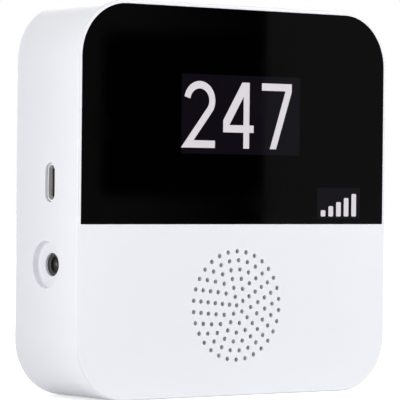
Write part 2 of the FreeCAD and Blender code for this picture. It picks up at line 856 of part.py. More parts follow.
def make_display_lights():
    """The light box with its cells, the diffuser in front and the lamps behind."""
    width = size("display_width") + 2 * size("display_lip")
    tall = size("display_tall") + 2 * size("display_lip")
    cell_span = size("display_width") - 2 * size("display_lip")
    divider = size("display_lip")
    cell_width = (cell_span - (DISPLAY_CELLS - 1) * divider) / DISPLAY_CELLS
    cell_tall = size("display_tall") - 2 * size("display_lip")
    middles = [(cell_width + divider) * (cell - (DISPLAY_CELLS - 1) / 2) for cell in range(DISPLAY_CELLS)]

    box = new_body("DisplayLightBox")
    outline = front_sketch(box, "box_outline", size("wall"))
    draw_centred(outline, 0, display_height, width, tall)
    pad_rearward(box, outline, "box", size("board_front") - size("wall"))
    cells = front_sketch(box, "cells_outline", size("wall"))
    for middle in middles:
        draw_centred(cells, middle, display_height, cell_width, cell_tall)
    cut_rearward(box, cells, "cells", size("board_front") - size("wall"))
    publish(box, "display_light_box")

    diffuser = new_body("DisplayDiffuser")
    outline = front_sketch(diffuser, "diffuser_outline", size("wall") - size("diffuser_thickness"))
    draw_centred(outline, 0, display_height, size("display_width") - 2 * size("light_gap"),
                 size("display_tall") - 2 * size("light_gap"))
    pad_rearward(diffuser, outline, "diffuser", size("diffuser_thickness"))
    publish(diffuser, "display_diffuser")

    lamps = [
        block(f"lamp_{column}_{row}_{cell}", middle + column * cell_width / 4,
              display_height + row * cell_tall / 3, size("led_width"), size("led_tall"),
              size("board_front") - size("led_thick"), size("led_thick"))
        for cell, middle in enumerate(middles)
        for column in (-1, 1)
        for row in (-1, 0, 1)
    ]
    publish(group("display_leds", lamps), "display_leds")


def make_signal_light():
    """The clear guide behind the small badge and its lamp."""
    across, height = signal_across, signal_height
    gap = size("window_gap") + size("screw_play")
    width = size("signal_width") - 2 * gap
    tall = size("signal_tall") - 2 * gap
    core_rear = size("board_front") - size("led_thick") - size("light_gap")
    flange = size("guide_flange")
    foot = size("guide_foot")
    core_front = size("wall") - size("diffuser_thickness")
    pieces = [
        block("guide_core", across, height, width, tall, core_front, core_rear - core_front),
        block("guide_flange", across, height, width + 2 * flange, tall + 2 * flange, size("wall"), flange),
    ]
    for side in (-1, 1):
        pieces.append(block(f"guide_foot_{side + 2}", across + side * (width - foot) / 2, height, foot, tall,
                            core_rear, size("board_front") - core_rear))
    publish(fuse("signal_light_guide", pieces), "signal_light_guide")
    lamp = block("signal_led", across, height, size("led_tall"), size("led_width"),
                 size("board_front") - size("led_thick"), size("led_thick"))
    publish(lamp, "signal_led")


# Board and what is soldered to it

def make_main_board():
    """The board with its screw holes."""
    body = new_body("MainBoard")
    outline = front_sketch(body, "board_outline", size("board_front"))
    draw_board_outline(outline)
    pad_rearward(body, outline, "board", size("board_thickness"))
    holes = front_sketch(body, "board_holes_outline", size("board_front"))
    for across, height in BOARD_SCREWS:
        draw_circle(holes, across, height, size("board_screw_radius") + size("screw_room"))
    cut_rearward(body, holes, "board_holes", size("board_thickness"))
    publish(body, "main_board")


def soldered(label, across, height, width, tall, thick):
    """A plain part standing on the rear of the board, as a node of its own."""
    return publish(block(label, across, height, width, tall, board_rear, thick), label)


def make_board_parts():
    """The chips, coil, capacitors and radio modules on the rear of the board."""
    side = size("processor_side")
    soldered("processor_chip", size("processor_across"), board_top - size("processor_drop"), side, side,
             size("processor_thick"))
    side = size("amplifier_side")
    soldered("amplifier_chip", size("amplifier_across"), board_bottom + size("amplifier_rise"), side, side,
             size("amplifier_thick"))
    side = size("inductor_side")
    power_across = board_left + size("power_inset")
    power_height = board_top - size("power_drop")
    soldered("power_inductor", power_across, power_height, side, side, size("inductor_thick"))
    pitch = size("capacitor_pitch")
    first = power_height + side / 2 + pitch * 0.75
    spots = [(power_across, first), (power_across, first + pitch), (power_across - pitch, first)]
    cans = [rod(f"capacitor_{i}", across, height, size("capacitor_radius"), board_rear,
                size("capacitor_length"))
            for i, (across, height) in enumerate(spots, start=1)]
    publish(group("board_capacitors", cans), "board_capacitors")

    soldered("radio_can", size("radio_across"), board_top - size("radio_drop") - size("radio_tall") / 2,
             size("radio_width"), size("radio_tall"), size("radio_thick"))
    wifi_top = board_top - size("wifi_drop")
    soldered("wifi_board", size("wifi_across"), wifi_top - size("wifi_tall") / 2, size("wifi_width"),
             size("wifi_tall"), size("wifi_board_thick"))
    margin = size("wifi_margin")
    can_tall = size("wifi_tall") - size("wifi_aerial_tall") - margin
    can_low = wifi_top - size("wifi_tall") + margin
    publish(block("wifi_can", size("wifi_across"), can_low + can_tall / 2, size("wifi_width") - 2 * margin,
                  can_tall, board_rear + size("wifi_board_thick"), size("wifi_can_thick")), "wifi_can")


def make_usb_port():
    """The metal shell of the port and the plastic tongue in it."""
    start = size("usb_setback") - half_width
    shell = new_body("UsbShell")
    outline = side_sketch(shell, "shell_outline", start)
    draw_slot(outline, usb_front, size("usb_height"), size("usb_tall"), size("usb_thick"))
    skin = size("usb_skin")
    draw_slot(outline, usb_front, size("usb_height"), size("usb_tall") - 2 * skin,
              size("usb_thick") - 2 * skin)
    add_feature(shell, "Pad", outline, "shell", size("usb_length"), False)
    publish(shell, "usb_c_shell")

    tongue = new_body("UsbTongue")
    root = side_sketch(tongue, "root_outline", start + size("usb_length") - size("tongue_root"))
    play = skin + size("screw_play")
    draw_slot(root, usb_front, size("usb_height"), size("usb_tall") - 2 * play, size("usb_thick") - 2 * play)
    add_feature(tongue, "Pad", root, "root", size("tongue_root"), False)
    blade = side_sketch(tongue, "blade_outline", start + size("tongue_setback"))
    draw_centred(blade, usb_front, size("usb_height"), size("tongue_thick"), size("tongue_tall"))
    add_feature(tongue, "Pad", blade, "blade", size("usb_length") - size("tongue_setback"), False)
    publish(tongue, "usb_c_tongue")


def make_jack():
    """The jack's moulded body, the metal sleeve behind its lip and its solder tabs."""
    play = size("nose_gap")
    body_start = play - inner_face
    nose_start = size("nose_setback") - half_width
    length = size("jack_body_length")
    end = body_start + length
    bore_radius = size("jack_bore_diameter") / 2
    sleeve_radius = bore_radius + size("jack_sleeve_skin")
    sleeve_start = nose_start + size("jack_lip_length")
    sleeve_length = end - size("jack_end_wall") - sleeve_start
    height = size("jack_height")

    jack = new_body("JackBody")
    case = side_sketch(jack, "case_outline", body_start)
    draw_centred(case, jack_front, height, size("jack_body_thick"), size("jack_body_tall"))
    add_feature(jack, "Pad", case, "case", length, False)
    nose = side_sketch(jack, "nose_outline", nose_start)
    draw_circle(nose, jack_front, height, size("jack_nose_diameter") / 2)
    add_feature(jack, "Pad", nose, "nose", body_start - nose_start, False)
    bore = side_sketch(jack, "bore_outline", sleeve_start)
    draw_circle(bore, jack_front, height, sleeve_radius)
    add_feature(jack, "Pocket", bore, "bore", sleeve_length, True)
    mouth = side_sketch(jack, "mouth_outline", nose_start)
    draw_circle(mouth, jack_front, height, bore_radius)
    lip = add_feature(jack, "Pocket", mouth, "mouth", size("jack_lip_length"), True)
    round_edges(jack, lip, "mouth_bevel", "Chamfer", size("jack_bevel"), is_ring(bore_radius, nose_start))
    publish(jack, "jack_body")

    sleeve = new_body("JackSleeve")
    ring = side_sketch(sleeve, "ring_outline", sleeve_start + size("screw_play"))
    for radius in (sleeve_radius, bore_radius):
        draw_circle(ring, jack_front, height, radius)
    add_feature(sleeve, "Pad", ring, "ring", sleeve_length - size("screw_play"), False)
    publish(sleeve, "jack_sleeve")

    reach = size("jack_tab_reach")
    tabs = []
    for number in (1, 2, 3):
        for side in (-1, 1):
            tabs.append(block(f"jack_tab_{number}_{side + 2}", body_start + number * length / 4,
                              height + side * (size("jack_body_tall") + reach) / 2,
                              size("jack_tab_width"), reach, board_rear, size("jack_tab_thick")))
    publish(group("jack_contacts", tabs), "jack_contacts")


# Speaker, turned about the axis of the grille

def make_speaker():
    """The cloth, gasket, basket, motor and cone, from front to rear."""
    metal = size("speaker_metal")
    pocket = grille_pocket
    cloth_front = size("grille_skin")
    publish(rod("grille_cloth", 0, size("grille_height"), pocket - size("light_gap"), cloth_front,
                size("cloth_thickness")), "grille_cloth")
    publish(turned("SpeakerGasket", ring_section(size("wall"), speaker_front, pocket,
                                                 speaker_radius)), "speaker_gasket")

    publish(turned("SpeakerBasket", [
        (speaker_front, pocket), (speaker_front, speaker_radius),
        (speaker_seat, speaker_radius), (speaker_seat, pocket + metal),
        (basket_front, size("speaker_base_radius")), (basket_rear, size("speaker_base_radius")),
        (basket_rear, coil_hole), (basket_front, coil_hole),
        (basket_front, size("speaker_base_radius") - metal), (speaker_seat, pocket),
    ]), "speaker_basket")

    yoke_rear = basket_rear + size("yoke_length")
    yoke_floor = yoke_rear - size("yoke_skin")
    publish(turned("SpeakerYoke", [
        (basket_rear, coil_hole), (basket_rear, size("yoke_radius")),
        (yoke_rear, size("yoke_radius")), (yoke_rear, 0), (yoke_floor, 0), (yoke_floor, coil_hole),
    ]), "speaker_yoke")
    magnet_front = yoke_floor - size("magnet_length")
    pole_radius = size("coil_radius") - size("coil_gap")
    publish(rod("speaker_magnet", 0, size("grille_height"), pole_radius - size("magnet_step"), magnet_front,
                size("magnet_length")), "speaker_magnet")
    publish(rod("pole_plate", 0, size("grille_height"), pole_radius,
                magnet_front - size("pole_thickness"), size("pole_thickness")), "pole_plate")
    make_cone()


def ring_section(front, rear, inner, outer):
    """The section of a plain flat ring."""
    return [(front, inner), (front, outer), (rear, outer), (rear, inner)]


def make_cone():
    """The parts that move: voice coil, cone and dust cap, and the surround that carries them."""
    coil = size("coil_radius")
    edge = grille_pocket - size("surround_width")
    thick = size("cone_thickness")
    edge_front = speaker_seat + size("cone_edge_drop")
    cone_front = coil_front - thick
    publish(turned("VoiceCoil", ring_section(coil_front, coil_front + size("coil_length"),
                                             coil, coil_outer)), "voice_coil")
    publish(turned("SpeakerCone", [
        (cone_front, coil), (edge_front, edge), (edge_front + thick, edge), (coil_front, coil),
    ]), "speaker_cone")

    roll = size("cone_thickness")
    inner = edge + size("screw_play")
    outer = grille_pocket - size("screw_play")
    middle = (inner + outer) / 2
    crest = speaker_front + size("screw_play")
    quarter = (outer - inner) / 5
    publish(turned("SpeakerSurround", [
        (edge_front, inner), (crest, middle - quarter), (crest, middle + quarter),
        (speaker_seat - roll, outer), (speaker_seat, outer), (crest + roll, middle + quarter / 2),
        (crest + roll, middle - quarter / 2), (edge_front + roll, inner),
    ]), "speaker_surround")

    rise = size("cap_rise")
    ball = (coil * coil + rise * rise) / (2 * rise)
    centre = cone_front - rise + ball
    balls = []
    for name, radius in (("cap_outside", ball), ("cap_inside", ball - thick)):
        sphere = doc.addObject("Part::Sphere", name)
        bind(sphere, "Radius", radius)
        balls.append(place(sphere, 0, centre, size("grille_height")))
    bowl = cut("cap_shell", *balls)
    trim = rod("cap_trim", 0, size("grille_height"), coil, cone_front - rise - thick, rise + thick)
    cap = doc.addObject("Part::Common", "dust_cap")
    cap.Base = bowl
    cap.Tool = trim
    publish(cap, "dust_cap")


# Leads and the antenna, each one wire along straight runs and arcs

def rounded_route(corners, bend_radius):
    """A path through the corners, with an arc of one radius at each turn."""
    edges = []
    start = corners[0]
    for before, corner, after in zip(corners, corners[1:], corners[2:]):
        arrive = (corner - before).normalize()
        leave = (after - corner).normalize()
        turn = arrive.getAngle(leave)
        setback = bend_radius * math.tan(turn / 2)
        entry = corner - arrive * setback
        exit_point = corner + leave * setback
        toward = (leave - arrive).normalize()
        middle = corner + toward * (bend_radius / math.cos(turn / 2) - bend_radius)
        edges.append(Part.LineSegment(start, entry).toShape())
        edges.append(Part.Arc(entry, middle, exit_point).toShape())
        start = exit_point
    edges.append(Part.LineSegment(start, corners[-1]).toShape())
    return Part.Wire(edges)


def wire_solid(corners, radius, bend_radius):
    """A round wire along a rounded route."""
    points = [Vector(as_size(x).number, as_size(y).number - half_depth.number, as_size(z).number)
              for x, y, z in corners]
    route = rounded_route(points, as_size(bend_radius).number)
    direction = points[1] - points[0]
    section = Part.Wire([Part.makeCircle(as_size(radius).number, points[0], direction)])
    solid = route.makePipeShell([section], True, False)
    expected = math.pi * as_size(radius).number ** 2 * route.Length
    if abs(solid.Volume / expected - 1) > 0.01:
        raise ValueError("a wire's volume differs from its section times its length")
    return solid


def make_wires(label, routes, radius, bend_radius):
    """One node of separate wires that run side by side."""
    wires = doc.addObject("Part::Feature", label)
    solids = [wire_solid(route, radius, bend_radius) for route in routes]
    wires.Shape = solids[0] if len(solids) == 1 else Part.makeCompound(solids)
    wires.Placement = Placement()
    publish(wires, label)


def make_speaker_leads():
    """The speaker's terminal, its two leads and their connector on the board."""
    terminal_low = size("grille_height") + size("yoke_radius") + size("coil_gap")
    tall = size("terminal_tall")
    thick = size("terminal_thick")
    publish(block("speaker_terminal", 0, terminal_low + tall / 2, size("terminal_width"), tall,
                  basket_rear, thick), "speaker_terminal")
    plug_low = board_bottom + size("speaker_plug_rise")
    publish(block("speaker_connector", 0, plug_low + size("plug_width") / 2, size("plug_tall"),
                  size("plug_width"), board_rear, size("plug_thick")), "speaker_connector")
    lead_height = terminal_low + tall - size("speaker_lead_drop")
    lead_front = board_rear + size("plug_thick") / 2 + size("lead_radius")
    routes = [
        [(side * size("lead_pitch") / 2, basket_rear + thick, lead_height),
         (side * size("lead_pitch") / 2, lead_front, lead_height),
         (side * size("lead_pitch") / 2, lead_front, plug_low)]
        for side in (-1, 1)
    ]
    make_wires("speaker_leads", routes, size("lead_radius"), size("lead_radius") * 2)


def make_battery():
    """The flat battery on its foam tape, with two leads to the board."""
    across = size("battery_left") + size("battery_width") / 2
    height = battery_bottom + size("battery_tall") / 2
    battery = new_body("BackupBattery")
    outline = front_sketch(battery, "pouch_outline", battery_front)
    draw_rounded(outline, size("battery_left"), size("battery_left") + size("battery_width"),
                 battery_bottom, battery_bottom + size("battery_tall"),
                 size("battery_edge_radius"))
    pouch = pad_rearward(battery, outline, "pouch", size("battery_thick"))
    round_edges(battery, pouch, "pouch_round", "Fillet", size("battery_edge_radius") / 2,
                lies_at_depth(battery_front))
    publish(battery, "backup_battery")
    publish(block("battery_tape", across, height, size("battery_width") - 2 * size("foam_margin"),
                  size("battery_tall") - 2 * size("foam_margin"), cover_front - size("foam_thickness"),
                  size("foam_thickness")), "battery_tape")

    plug_across = size("battery_left") - size("battery_plug_shift")
    plug_height = battery_bottom + size("battery_plug_rise")
    publish(block("battery_connector", plug_across, plug_height, size("plug_width"), size("plug_tall"),
                  board_rear, size("plug_thick")), "battery_connector")
    lead_front = battery_front + size("battery_thick") / 2
    routes = [
        [(size("battery_left"), lead_front, plug_height + side * size("lead_pitch") / 2),
         (plug_across, lead_front, plug_height + side * size("lead_pitch") / 2),
         (plug_across, board_rear + size("plug_thick"), plug_height + side * size("lead_pitch") / 2)]
        for side in (-1, 1)
    ]
    make_wires("battery_leads", routes, size("lead_radius"), size("lead_radius") * 4)


def make_antenna():
    """The stiff wire that stands on the board and runs along the top."""
    foot_across = size("radio_across") + size("radio_width") / 2 + size("antenna_gap")
    foot_height = board_top - size("antenna_foot_drop")
    front = board_rear + size("antenna_stand")
    height = size("body_height") - size("wall") - size("antenna_clearance")
    route = [(foot_across, board_rear, foot_height), (foot_across, front, foot_height),
             (foot_across, front, height), (foot_across - size("antenna_reach"), front, height)]
    make_wires("radio_antenna", [route], size("antenna_radius"), size("antenna_radius") * 4)


def make_microphone():
    """The microphone in its rubber boot behind the right wall, and its two leads."""
    height = size("microphone_height")
    boot_start = inner_face - size("boot_length")
    cup = side_rod("boot_outside", boot_start, microphone_front, height, size("boot_radius"),
                   size("boot_length"))
    hollow_length = size("boot_length") - size("boot_floor")
    hollow = side_rod("boot_hollow", boot_start, microphone_front, height,
                      size("microphone_radius") + size("screw_play"), hollow_length)
    port = side_rod("boot_port", boot_start, microphone_front, height, size("boot_port"),
                    size("boot_length"))
    publish(cut("microphone_boot", cup, fuse("boot_inside", [hollow, port])), "microphone_boot")
    capsule_end = inner_face - size("boot_floor")
    capsule_start = capsule_end - size("microphone_length")
    publish(side_rod("microphone", capsule_start, microphone_front, height, size("microphone_radius"),
                     size("microphone_length")), "microphone")
    solder_height = board_bottom + size("microphone_solder_rise")
    near = capsule_start - size("microphone_lead_reach")
    routes = []
    for side, across in ((1, near), (-1, near - size("microphone_lead_step"))):
        lead_height = height + side * size("microphone_lead_pitch") / 2
        routes.append([
            (capsule_start, microphone_front, lead_height), (across, microphone_front, lead_height),
            (across, microphone_front, solder_height), (across, board_rear, solder_height),
        ])
    make_wires("microphone_leads", routes, size("thin_lead_radius"), size("thin_lead_radius") * 3)


# Buttons

def make_button(name, height):
    """A flush side button, its plunger and the switch on the board that it works."""
    wall_outside = half_width - size("button_setback")
    flange_end = inner_face - size("button_rest_gap")
    flange_start = flange_end - size("button_flange_length")
    cap = new_body(f"{name.title()}Button")
    key = side_sketch(cap, "key_outline", flange_end)
    draw_slot(key, button_front, height, size("button_tall"), size("button_thick"))
    key_pad = add_feature(cap, "Pad", key, "key", wall_outside - flange_end, False)
    doc.recompute()
    face_edges = edges_that(key_pad.Shape,
                            lambda edge: all(abs(v.X - wall_outside.number) < 1e-6 for v in edge.Vertexes))
    crown = cap.newObject("PartDesign::Fillet", "key_round")
    crown.Base = (key_pad, face_edges)
    bind(crown, "Radius", size("front_edge_radius"))
    flange = side_sketch(cap, "flange_outline", flange_start)
    draw_centred(flange, button_front, height, size("button_flange_thick"),
                 size("button_tall") + 2 * size("button_flange_reach"))
    add_feature(cap, "Pad", flange, "flange", size("button_flange_length"), False)
    publish(cap, f"{name}_button")

    switch_end = flange_start - size("switch_reach")
    switch_start = switch_end - size("switch_length")
    case = block(f"{name}_case", switch_start + size("switch_length") / 2, height, size("switch_length"),
                 size("switch_tall"), board_rear, size("switch_thick"))
    well_length = size("plunger_inside") + size("button_travel") + size("plunger_gap")
    well = side_rod(f"{name}_well", switch_end - well_length, button_front, height,
                    size("plunger_radius") + size("plunger_gap"), well_length)
    publish(cut(f"{name}_switch", case, well), f"{name}_switch")
    plunger_start = switch_end - size("plunger_inside")
    publish(side_rod(f"{name}_plunger", plunger_start, button_front, height, size("plunger_radius"),
                     flange_start - plunger_start), f"{name}_plunger")


def check_and_write():
    """Stop on any failed feature or bad solid, then write each node's file."""
    doc.recompute()
    for thing in doc.Objects:
        if "Invalid" in thing.State or "Error" in thing.State:
            raise ValueError(f"{thing.Name} failed: {thing.State}")
        if thing.TypeId == "PartDesign::Pocket":
            if thing.Shape.Volume >= thing.BaseFeature.Shape.Volume - 1e-4:
                raise ValueError(f"{thing.Name} cuts nothing")
    os.makedirs("parts", exist_ok=True)
    for node in nodes:
        shape = node.Shape
        if shape.isNull() or not shape.isValid() or not shape.Solids:
            raise ValueError(f"{node.Label} has no valid solid")
        shape.exportStep(f"parts/{node.Label}.step")
        print(f"{node.Label}: {len(shape.Solids)} solids, {shape.Volume:.2f} mm3")
    print(len(nodes), "nodes")


make_front_housing()
make_rear_cover()
make_window()
make_display_lights()
make_signal_light()
make_main_board()
make_board_parts()
make_usb_port()
make_jack()
make_speaker()
make_speaker_leads()
make_battery()
make_antenna()
make_microphone()
make_button("upper", button_upper)
make_button("lower", button_lower)
make_screws("cover_screws", CORNER_BOSSES, head_seat, size("cover_head_radius"),
            size("cover_head_height"), size("cover_screw_radius"), size("cover_screw_length"))
make_screws("board_screws", BOARD_SCREWS, board_rear, size("board_head_radius"),
            size("board_head_height"), size("board_screw_radius"), size("board_screw_length"))
make_screws("speaker_screws", SPEAKER_SCREWS, speaker_seat, size("speaker_head_radius"),
            size("speaker_head_height"), size("board_screw_radius"), size("speaker_screw_length"))
check_and_write()
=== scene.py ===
"""Looks, marks, lamps and camera for a table-top alert receiver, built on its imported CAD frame."""

import logging
import math
from collections.abc import Sequence
from dataclasses import dataclass
from enum import Enum, member
from functools import cache

import bmesh
import bpy
from mathutils import Matrix, Vector


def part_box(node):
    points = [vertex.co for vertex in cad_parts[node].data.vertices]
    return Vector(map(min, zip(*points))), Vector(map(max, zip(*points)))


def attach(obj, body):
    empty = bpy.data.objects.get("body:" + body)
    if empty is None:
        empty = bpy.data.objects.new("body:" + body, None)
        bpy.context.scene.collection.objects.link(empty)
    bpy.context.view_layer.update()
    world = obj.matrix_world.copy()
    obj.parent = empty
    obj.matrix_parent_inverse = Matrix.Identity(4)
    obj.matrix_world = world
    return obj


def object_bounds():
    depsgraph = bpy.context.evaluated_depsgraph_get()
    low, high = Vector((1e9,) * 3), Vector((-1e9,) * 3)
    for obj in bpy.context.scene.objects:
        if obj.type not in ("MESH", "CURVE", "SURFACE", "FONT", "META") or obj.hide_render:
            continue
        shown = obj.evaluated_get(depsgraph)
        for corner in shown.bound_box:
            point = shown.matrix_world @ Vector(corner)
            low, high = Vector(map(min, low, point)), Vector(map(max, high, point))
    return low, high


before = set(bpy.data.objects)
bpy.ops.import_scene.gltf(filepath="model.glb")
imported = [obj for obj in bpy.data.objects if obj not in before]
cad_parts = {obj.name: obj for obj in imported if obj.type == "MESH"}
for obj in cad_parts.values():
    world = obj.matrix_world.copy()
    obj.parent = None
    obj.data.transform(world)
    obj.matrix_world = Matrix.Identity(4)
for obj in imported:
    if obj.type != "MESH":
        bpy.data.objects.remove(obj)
CAD_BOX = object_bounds()

log = logging.getLogger("receiver")

MM = 0.001
HOUSING = "housing"
SHARP_ANGLE = 0.6

Colour = tuple[float, float, float]
Point2 = tuple[float, float]
Point3 = tuple[float, float, float]
Loop = list[Point2]
Socket = bpy.types.NodeSocket
Tree = bpy.types.NodeTree
Wired = Socket | float | tuple


class Wiring:
    """One node tree, with short ways to add nodes and to join them."""

    def __init__(self, tree: Tree) -> None:
        """Empty the tree and keep it."""
        self.tree = tree
        tree.nodes.clear()

    def add(self, kind: str, inputs: dict[str | int, Wired] | None = None,
            **settings: object) -> bpy.types.Node:
        """Add one shader node.

        Args:
            kind: the node's type without its usual beginning.
            inputs: a value, or a socket to join, for each named or numbered input.
            settings: the node's own properties.

        Returns:
            The new node.
        """
        node = self.tree.nodes.new(f"ShaderNode{kind}")
        for name, value in settings.items():
            setattr(node, name, value)
        for key, value in (inputs or {}).items():
            self.feed(node.inputs[key], value)
        return node

    def feed(self, socket: Socket, value: Wired) -> None:
        """Join a socket to another one, or set its value.

        Args:
            socket: the input to fill.
            value: the socket that feeds it, or its fixed value.
        """
        if isinstance(value, Socket):
            self.tree.links.new(value, socket)
        elif socket.type == "RGBA" and len(value) == 3:
            socket.default_value = (*value, 1.0)
        else:
            socket.default_value = value

    def math(self, operation: str, first: Wired, second: Wired = 0.0) -> Socket:
        """Work out one number from two.

        Args:
            operation: the name of the sum to do.
            first: the first number.
            second: the second number.

        Returns:
            The socket that holds the answer.
        """
        return self.add("Math", {0: first, 1: second}, operation=operation).outputs[0]

    def times(self, first: Wired, second: Wired) -> Socket:
        """Multiply two numbers."""
        return self.math("MULTIPLY", first, second)

    def raised(self, base: Wired, value: Wired, amount: Wired) -> Socket:
        """Raise a number by a share of another one."""
        return self.math("ADD", base, self.times(value, amount))

    def varied(self, base: Wired, value: Wired, amount: Wired, middle: float = 0.5) -> Socket:
        """Move a number up and down as another one leaves its middle."""
        return self.raised(base, self.math("SUBTRACT", value, middle), amount)

    def ramp(self, value: Wired, start: float, end: float, low: float = 0.0, high: float = 1.0) -> Socket:
        """Map one span of numbers onto another, smoothly and within its ends.

        Args:
            value: the number to map.
            start: the value that gives low.
            end: the value that gives high.
            low: the lowest answer.
            high: the highest answer.

        Returns:
            The socket that holds the answer.
        """
        inputs = {"Value": value, "From Min": start, "From Max": end, "To Min": low, "To Max": high}
        return self.add("MapRange", inputs, interpolation_type="SMOOTHSTEP").outputs["Result"]

    def blend(self, amount: Wired, first: Wired, second: Wired) -> Socket:
        """Mix two colours.

        Args:
            amount: how much of the second colour shows.
            first: the colour at 0.
            second: the colour at 1.

        Returns:
            The socket that holds the mixed colour.
        """
        node = self.add("Mix", {0: amount}, data_type="RGBA")
        self.feed(node.inputs[6], first)
        self.feed(node.inputs[7], second)
        return node.outputs[2]

    def shade(self, colour: Wired, value: Wired) -> Socket:
        """Make a colour lighter or darker.

        Args:
            colour: the colour to start from.
            value: 1 leaves it as it is.

        Returns:
            The socket that holds the shaded colour.
        """
        return self.add("HueSaturation", {"Color": colour, "Value": value}).outputs["Color"]

    def noise(self, where: Wired, scale: Wired, detail: float = 2.0) -> Socket:
        """Give soft random values between 0 and 1.

        Args:
            where: the coordinates to sample.
            scale: patches per metre, roughly.
            detail: how many finer layers it has.

        Returns:
            The socket that holds the value.
        """
        return self.add("TexNoise", {"Vector": where, "Scale": scale, "Detail": detail}).outputs[0]

    def place(self) -> Socket:
        """Give the place on the object in metres, which is also the place in the row frame."""
        return self.add("TexCoord").outputs["Object"]

    def vector(self, operation: str, first: Wired, second: Wired) -> Socket:
        """Work out one vector from two."""
        return self.add("VectorMath", {0: first, 1: second}, operation=operation).outputs[0]

    def length(self, where: Wired) -> Socket:
        """Give how long a vector is."""
        return self.add("VectorMath", {0: where}, operation="LENGTH").outputs["Value"]

    def group(self, tree: Tree, inputs: dict[str, Wired]) -> bpy.types.NodeOutputs:
        """Place one effect's node group, and give its outputs."""
        return self.add("Group", inputs, node_tree=tree).outputs


SOCKET_KINDS = {"colour": "NodeSocketColor", "number": "NodeSocketFloat", "vector": "NodeSocketVector"}


class Effect:
    """A shader node group that is being built, with its inputs and outputs named."""

    def __init__(self, name: str, takes: dict[str, tuple], gives: dict[str, str]) -> None:
        """Open the group and make its sockets.

        Args:
            name: the group's name.
            takes: a kind and a default for each input.
            gives: a kind for each output.
        """
        self.tree = bpy.data.node_groups.new(name, "ShaderNodeTree")
        for title, (kind, default) in takes.items():
            socket = self.tree.interface.new_socket(title, in_out="INPUT", socket_type=SOCKET_KINDS[kind])
            socket.default_value = (*default, 1.0) if kind == "colour" else default
        for title, kind in gives.items():
            self.tree.interface.new_socket(title, in_out="OUTPUT", socket_type=SOCKET_KINDS[kind])
        self.wire = Wiring(self.tree)
        self.given = self.tree.nodes.new("NodeGroupInput").outputs
        self.result = self.tree.nodes.new("NodeGroupOutput").inputs

    def put(self, **answers: Wired) -> Tree:
        """Join the answers to the outputs of the same names.

        Args:
            answers: the socket for each output.

        Returns:
            The finished group.
        """
        for title, answer in answers.items():
            self.wire.feed(self.result[title], answer)
        return self.tree


class SurfaceEffect(Effect):
    """An effect that gives a bare surface its colour, roughness and height."""

    def __init__(self, name: str, scale: str = "Size") -> None:
        """Open the group with the inputs that a finish fills.

        Args:
            name: the group's name.
            scale: how fine it is, as one Size in metres or as Lines per metre along each axis.
        """
        fineness = ("number", 0.0003) if scale == "Size" else ("vector", (300, 300, 6000))
        takes = {"Colour": ("colour", (0.5, 0.5, 0.5)), scale: fineness}
        takes |= {"Shade": ("number", 0.1), "Roughness": ("number", 0.5), "Spread": ("number", 0.1)}
        super().__init__(name, takes, {"Colour": "colour", "Roughness": "number", "Height": "number"})

    def cover(self, tone: Wired, gloss: Wired, height: Wired, tone_middle: float = 0.5,
              gloss_middle: float = 0.0) -> Tree:
        """Vary the given colour and roughness by patterns, and close the group.

        Args:
            tone: the pattern of lighter and darker places.
            gloss: the pattern of rougher and smoother places.
            height: the height at each place.
            tone_middle: the tone that changes nothing.
            gloss_middle: the gloss that changes nothing.

        Returns:
            The finished group.
        """
        wire, given = self.wire, self.given
        value = wire.varied(1.0, tone, given["Shade"], tone_middle)
        rough = wire.varied(given["Roughness"], gloss, given["Spread"], gloss_middle)
        return self.put(Colour=wire.shade(given["Colour"], value), Roughness=rough, Height=height)


@cache
def moulded_grain() -> Tree:
    """Make fine spark-eroded grain with a faint unevenness of colour and gloss.

    Returns:
        The effect's node group.
    """
    effect = SurfaceEffect("moulded_grain")
    wire = effect.wire
    where = wire.place()
    grain = wire.noise(where, scale=wire.math("DIVIDE", 1.0, effect.given["Size"]), detail=3.0)
    cloud = wire.noise(where, scale=45.0)
    patch = wire.noise(where, scale=160.0, detail=4.0)
    return effect.cover(tone=cloud, gloss=patch, height=grain, gloss_middle=0.5)


@cache
def drawn_metal() -> Tree:
    """Make fine lines that run one way over sheet metal, with faint stains.

    Returns:
        The effect's node group.
    """
    effect = SurfaceEffect("drawn_metal", scale="Lines")
    wire = effect.wire
    where = wire.place()
    lines = wire.noise(wire.vector("MULTIPLY", where, effect.given["Lines"]), scale=1.0, detail=3.0)
    stain = wire.noise(where, scale=350.0, detail=3.0)
    line_share = 0.6
    mixed = wire.raised(wire.times(lines, line_share), stain, 1.0 - line_share)
    return effect.cover(tone=stain, gloss=mixed, height=lines, gloss_middle=0.5)


@cache
def open_cells() -> Tree:
    """Make small round cells, as in foam, felt or a crinkled foil, with painted shade in their hollows.

    Returns:
        The effect's node group.
    """
    effect = SurfaceEffect("open_cells")
    wire = effect.wire
    scale = wire.math("DIVIDE", 1.0, effect.given["Size"])
    cells = wire.add("TexVoronoi", {"Vector": wire.place(), "Scale": scale}).outputs["Distance"]
    # painted shade: the colour darkens in the middle of each cell, where the surface sinks
    return effect.cover(tone=cells, gloss=cells, height=cells)


@cache
def turned_rings() -> Tree:
    """Make rings about the middle of the grille, as on a pressed cone or a turned plate.

    Returns:
        The effect's node group.
    """
    effect = SurfaceEffect("turned_rings")
    wire = effect.wire
    where = wire.place()
    low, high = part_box("grille_cloth")
    from_middle = wire.vector("SUBTRACT", where, tuple((low + high) / 2))
    reach = wire.length(wire.vector("MULTIPLY", from_middle, (1.0, 0.0, 1.0)))
    turns = wire.times(wire.math("DIVIDE", reach, effect.given["Size"]), 2 * math.pi)
    rings = wire.ramp(wire.math("SINE", turns), start=-1.0, end=1.0)
    fibre = wire.noise(where, scale=1800.0, detail=3.0)
    ring_share = 0.8
    height = wire.raised(wire.times(rings, ring_share), fibre, 1.0 - ring_share)
    return effect.cover(tone=fibre, gloss=rings, height=height)


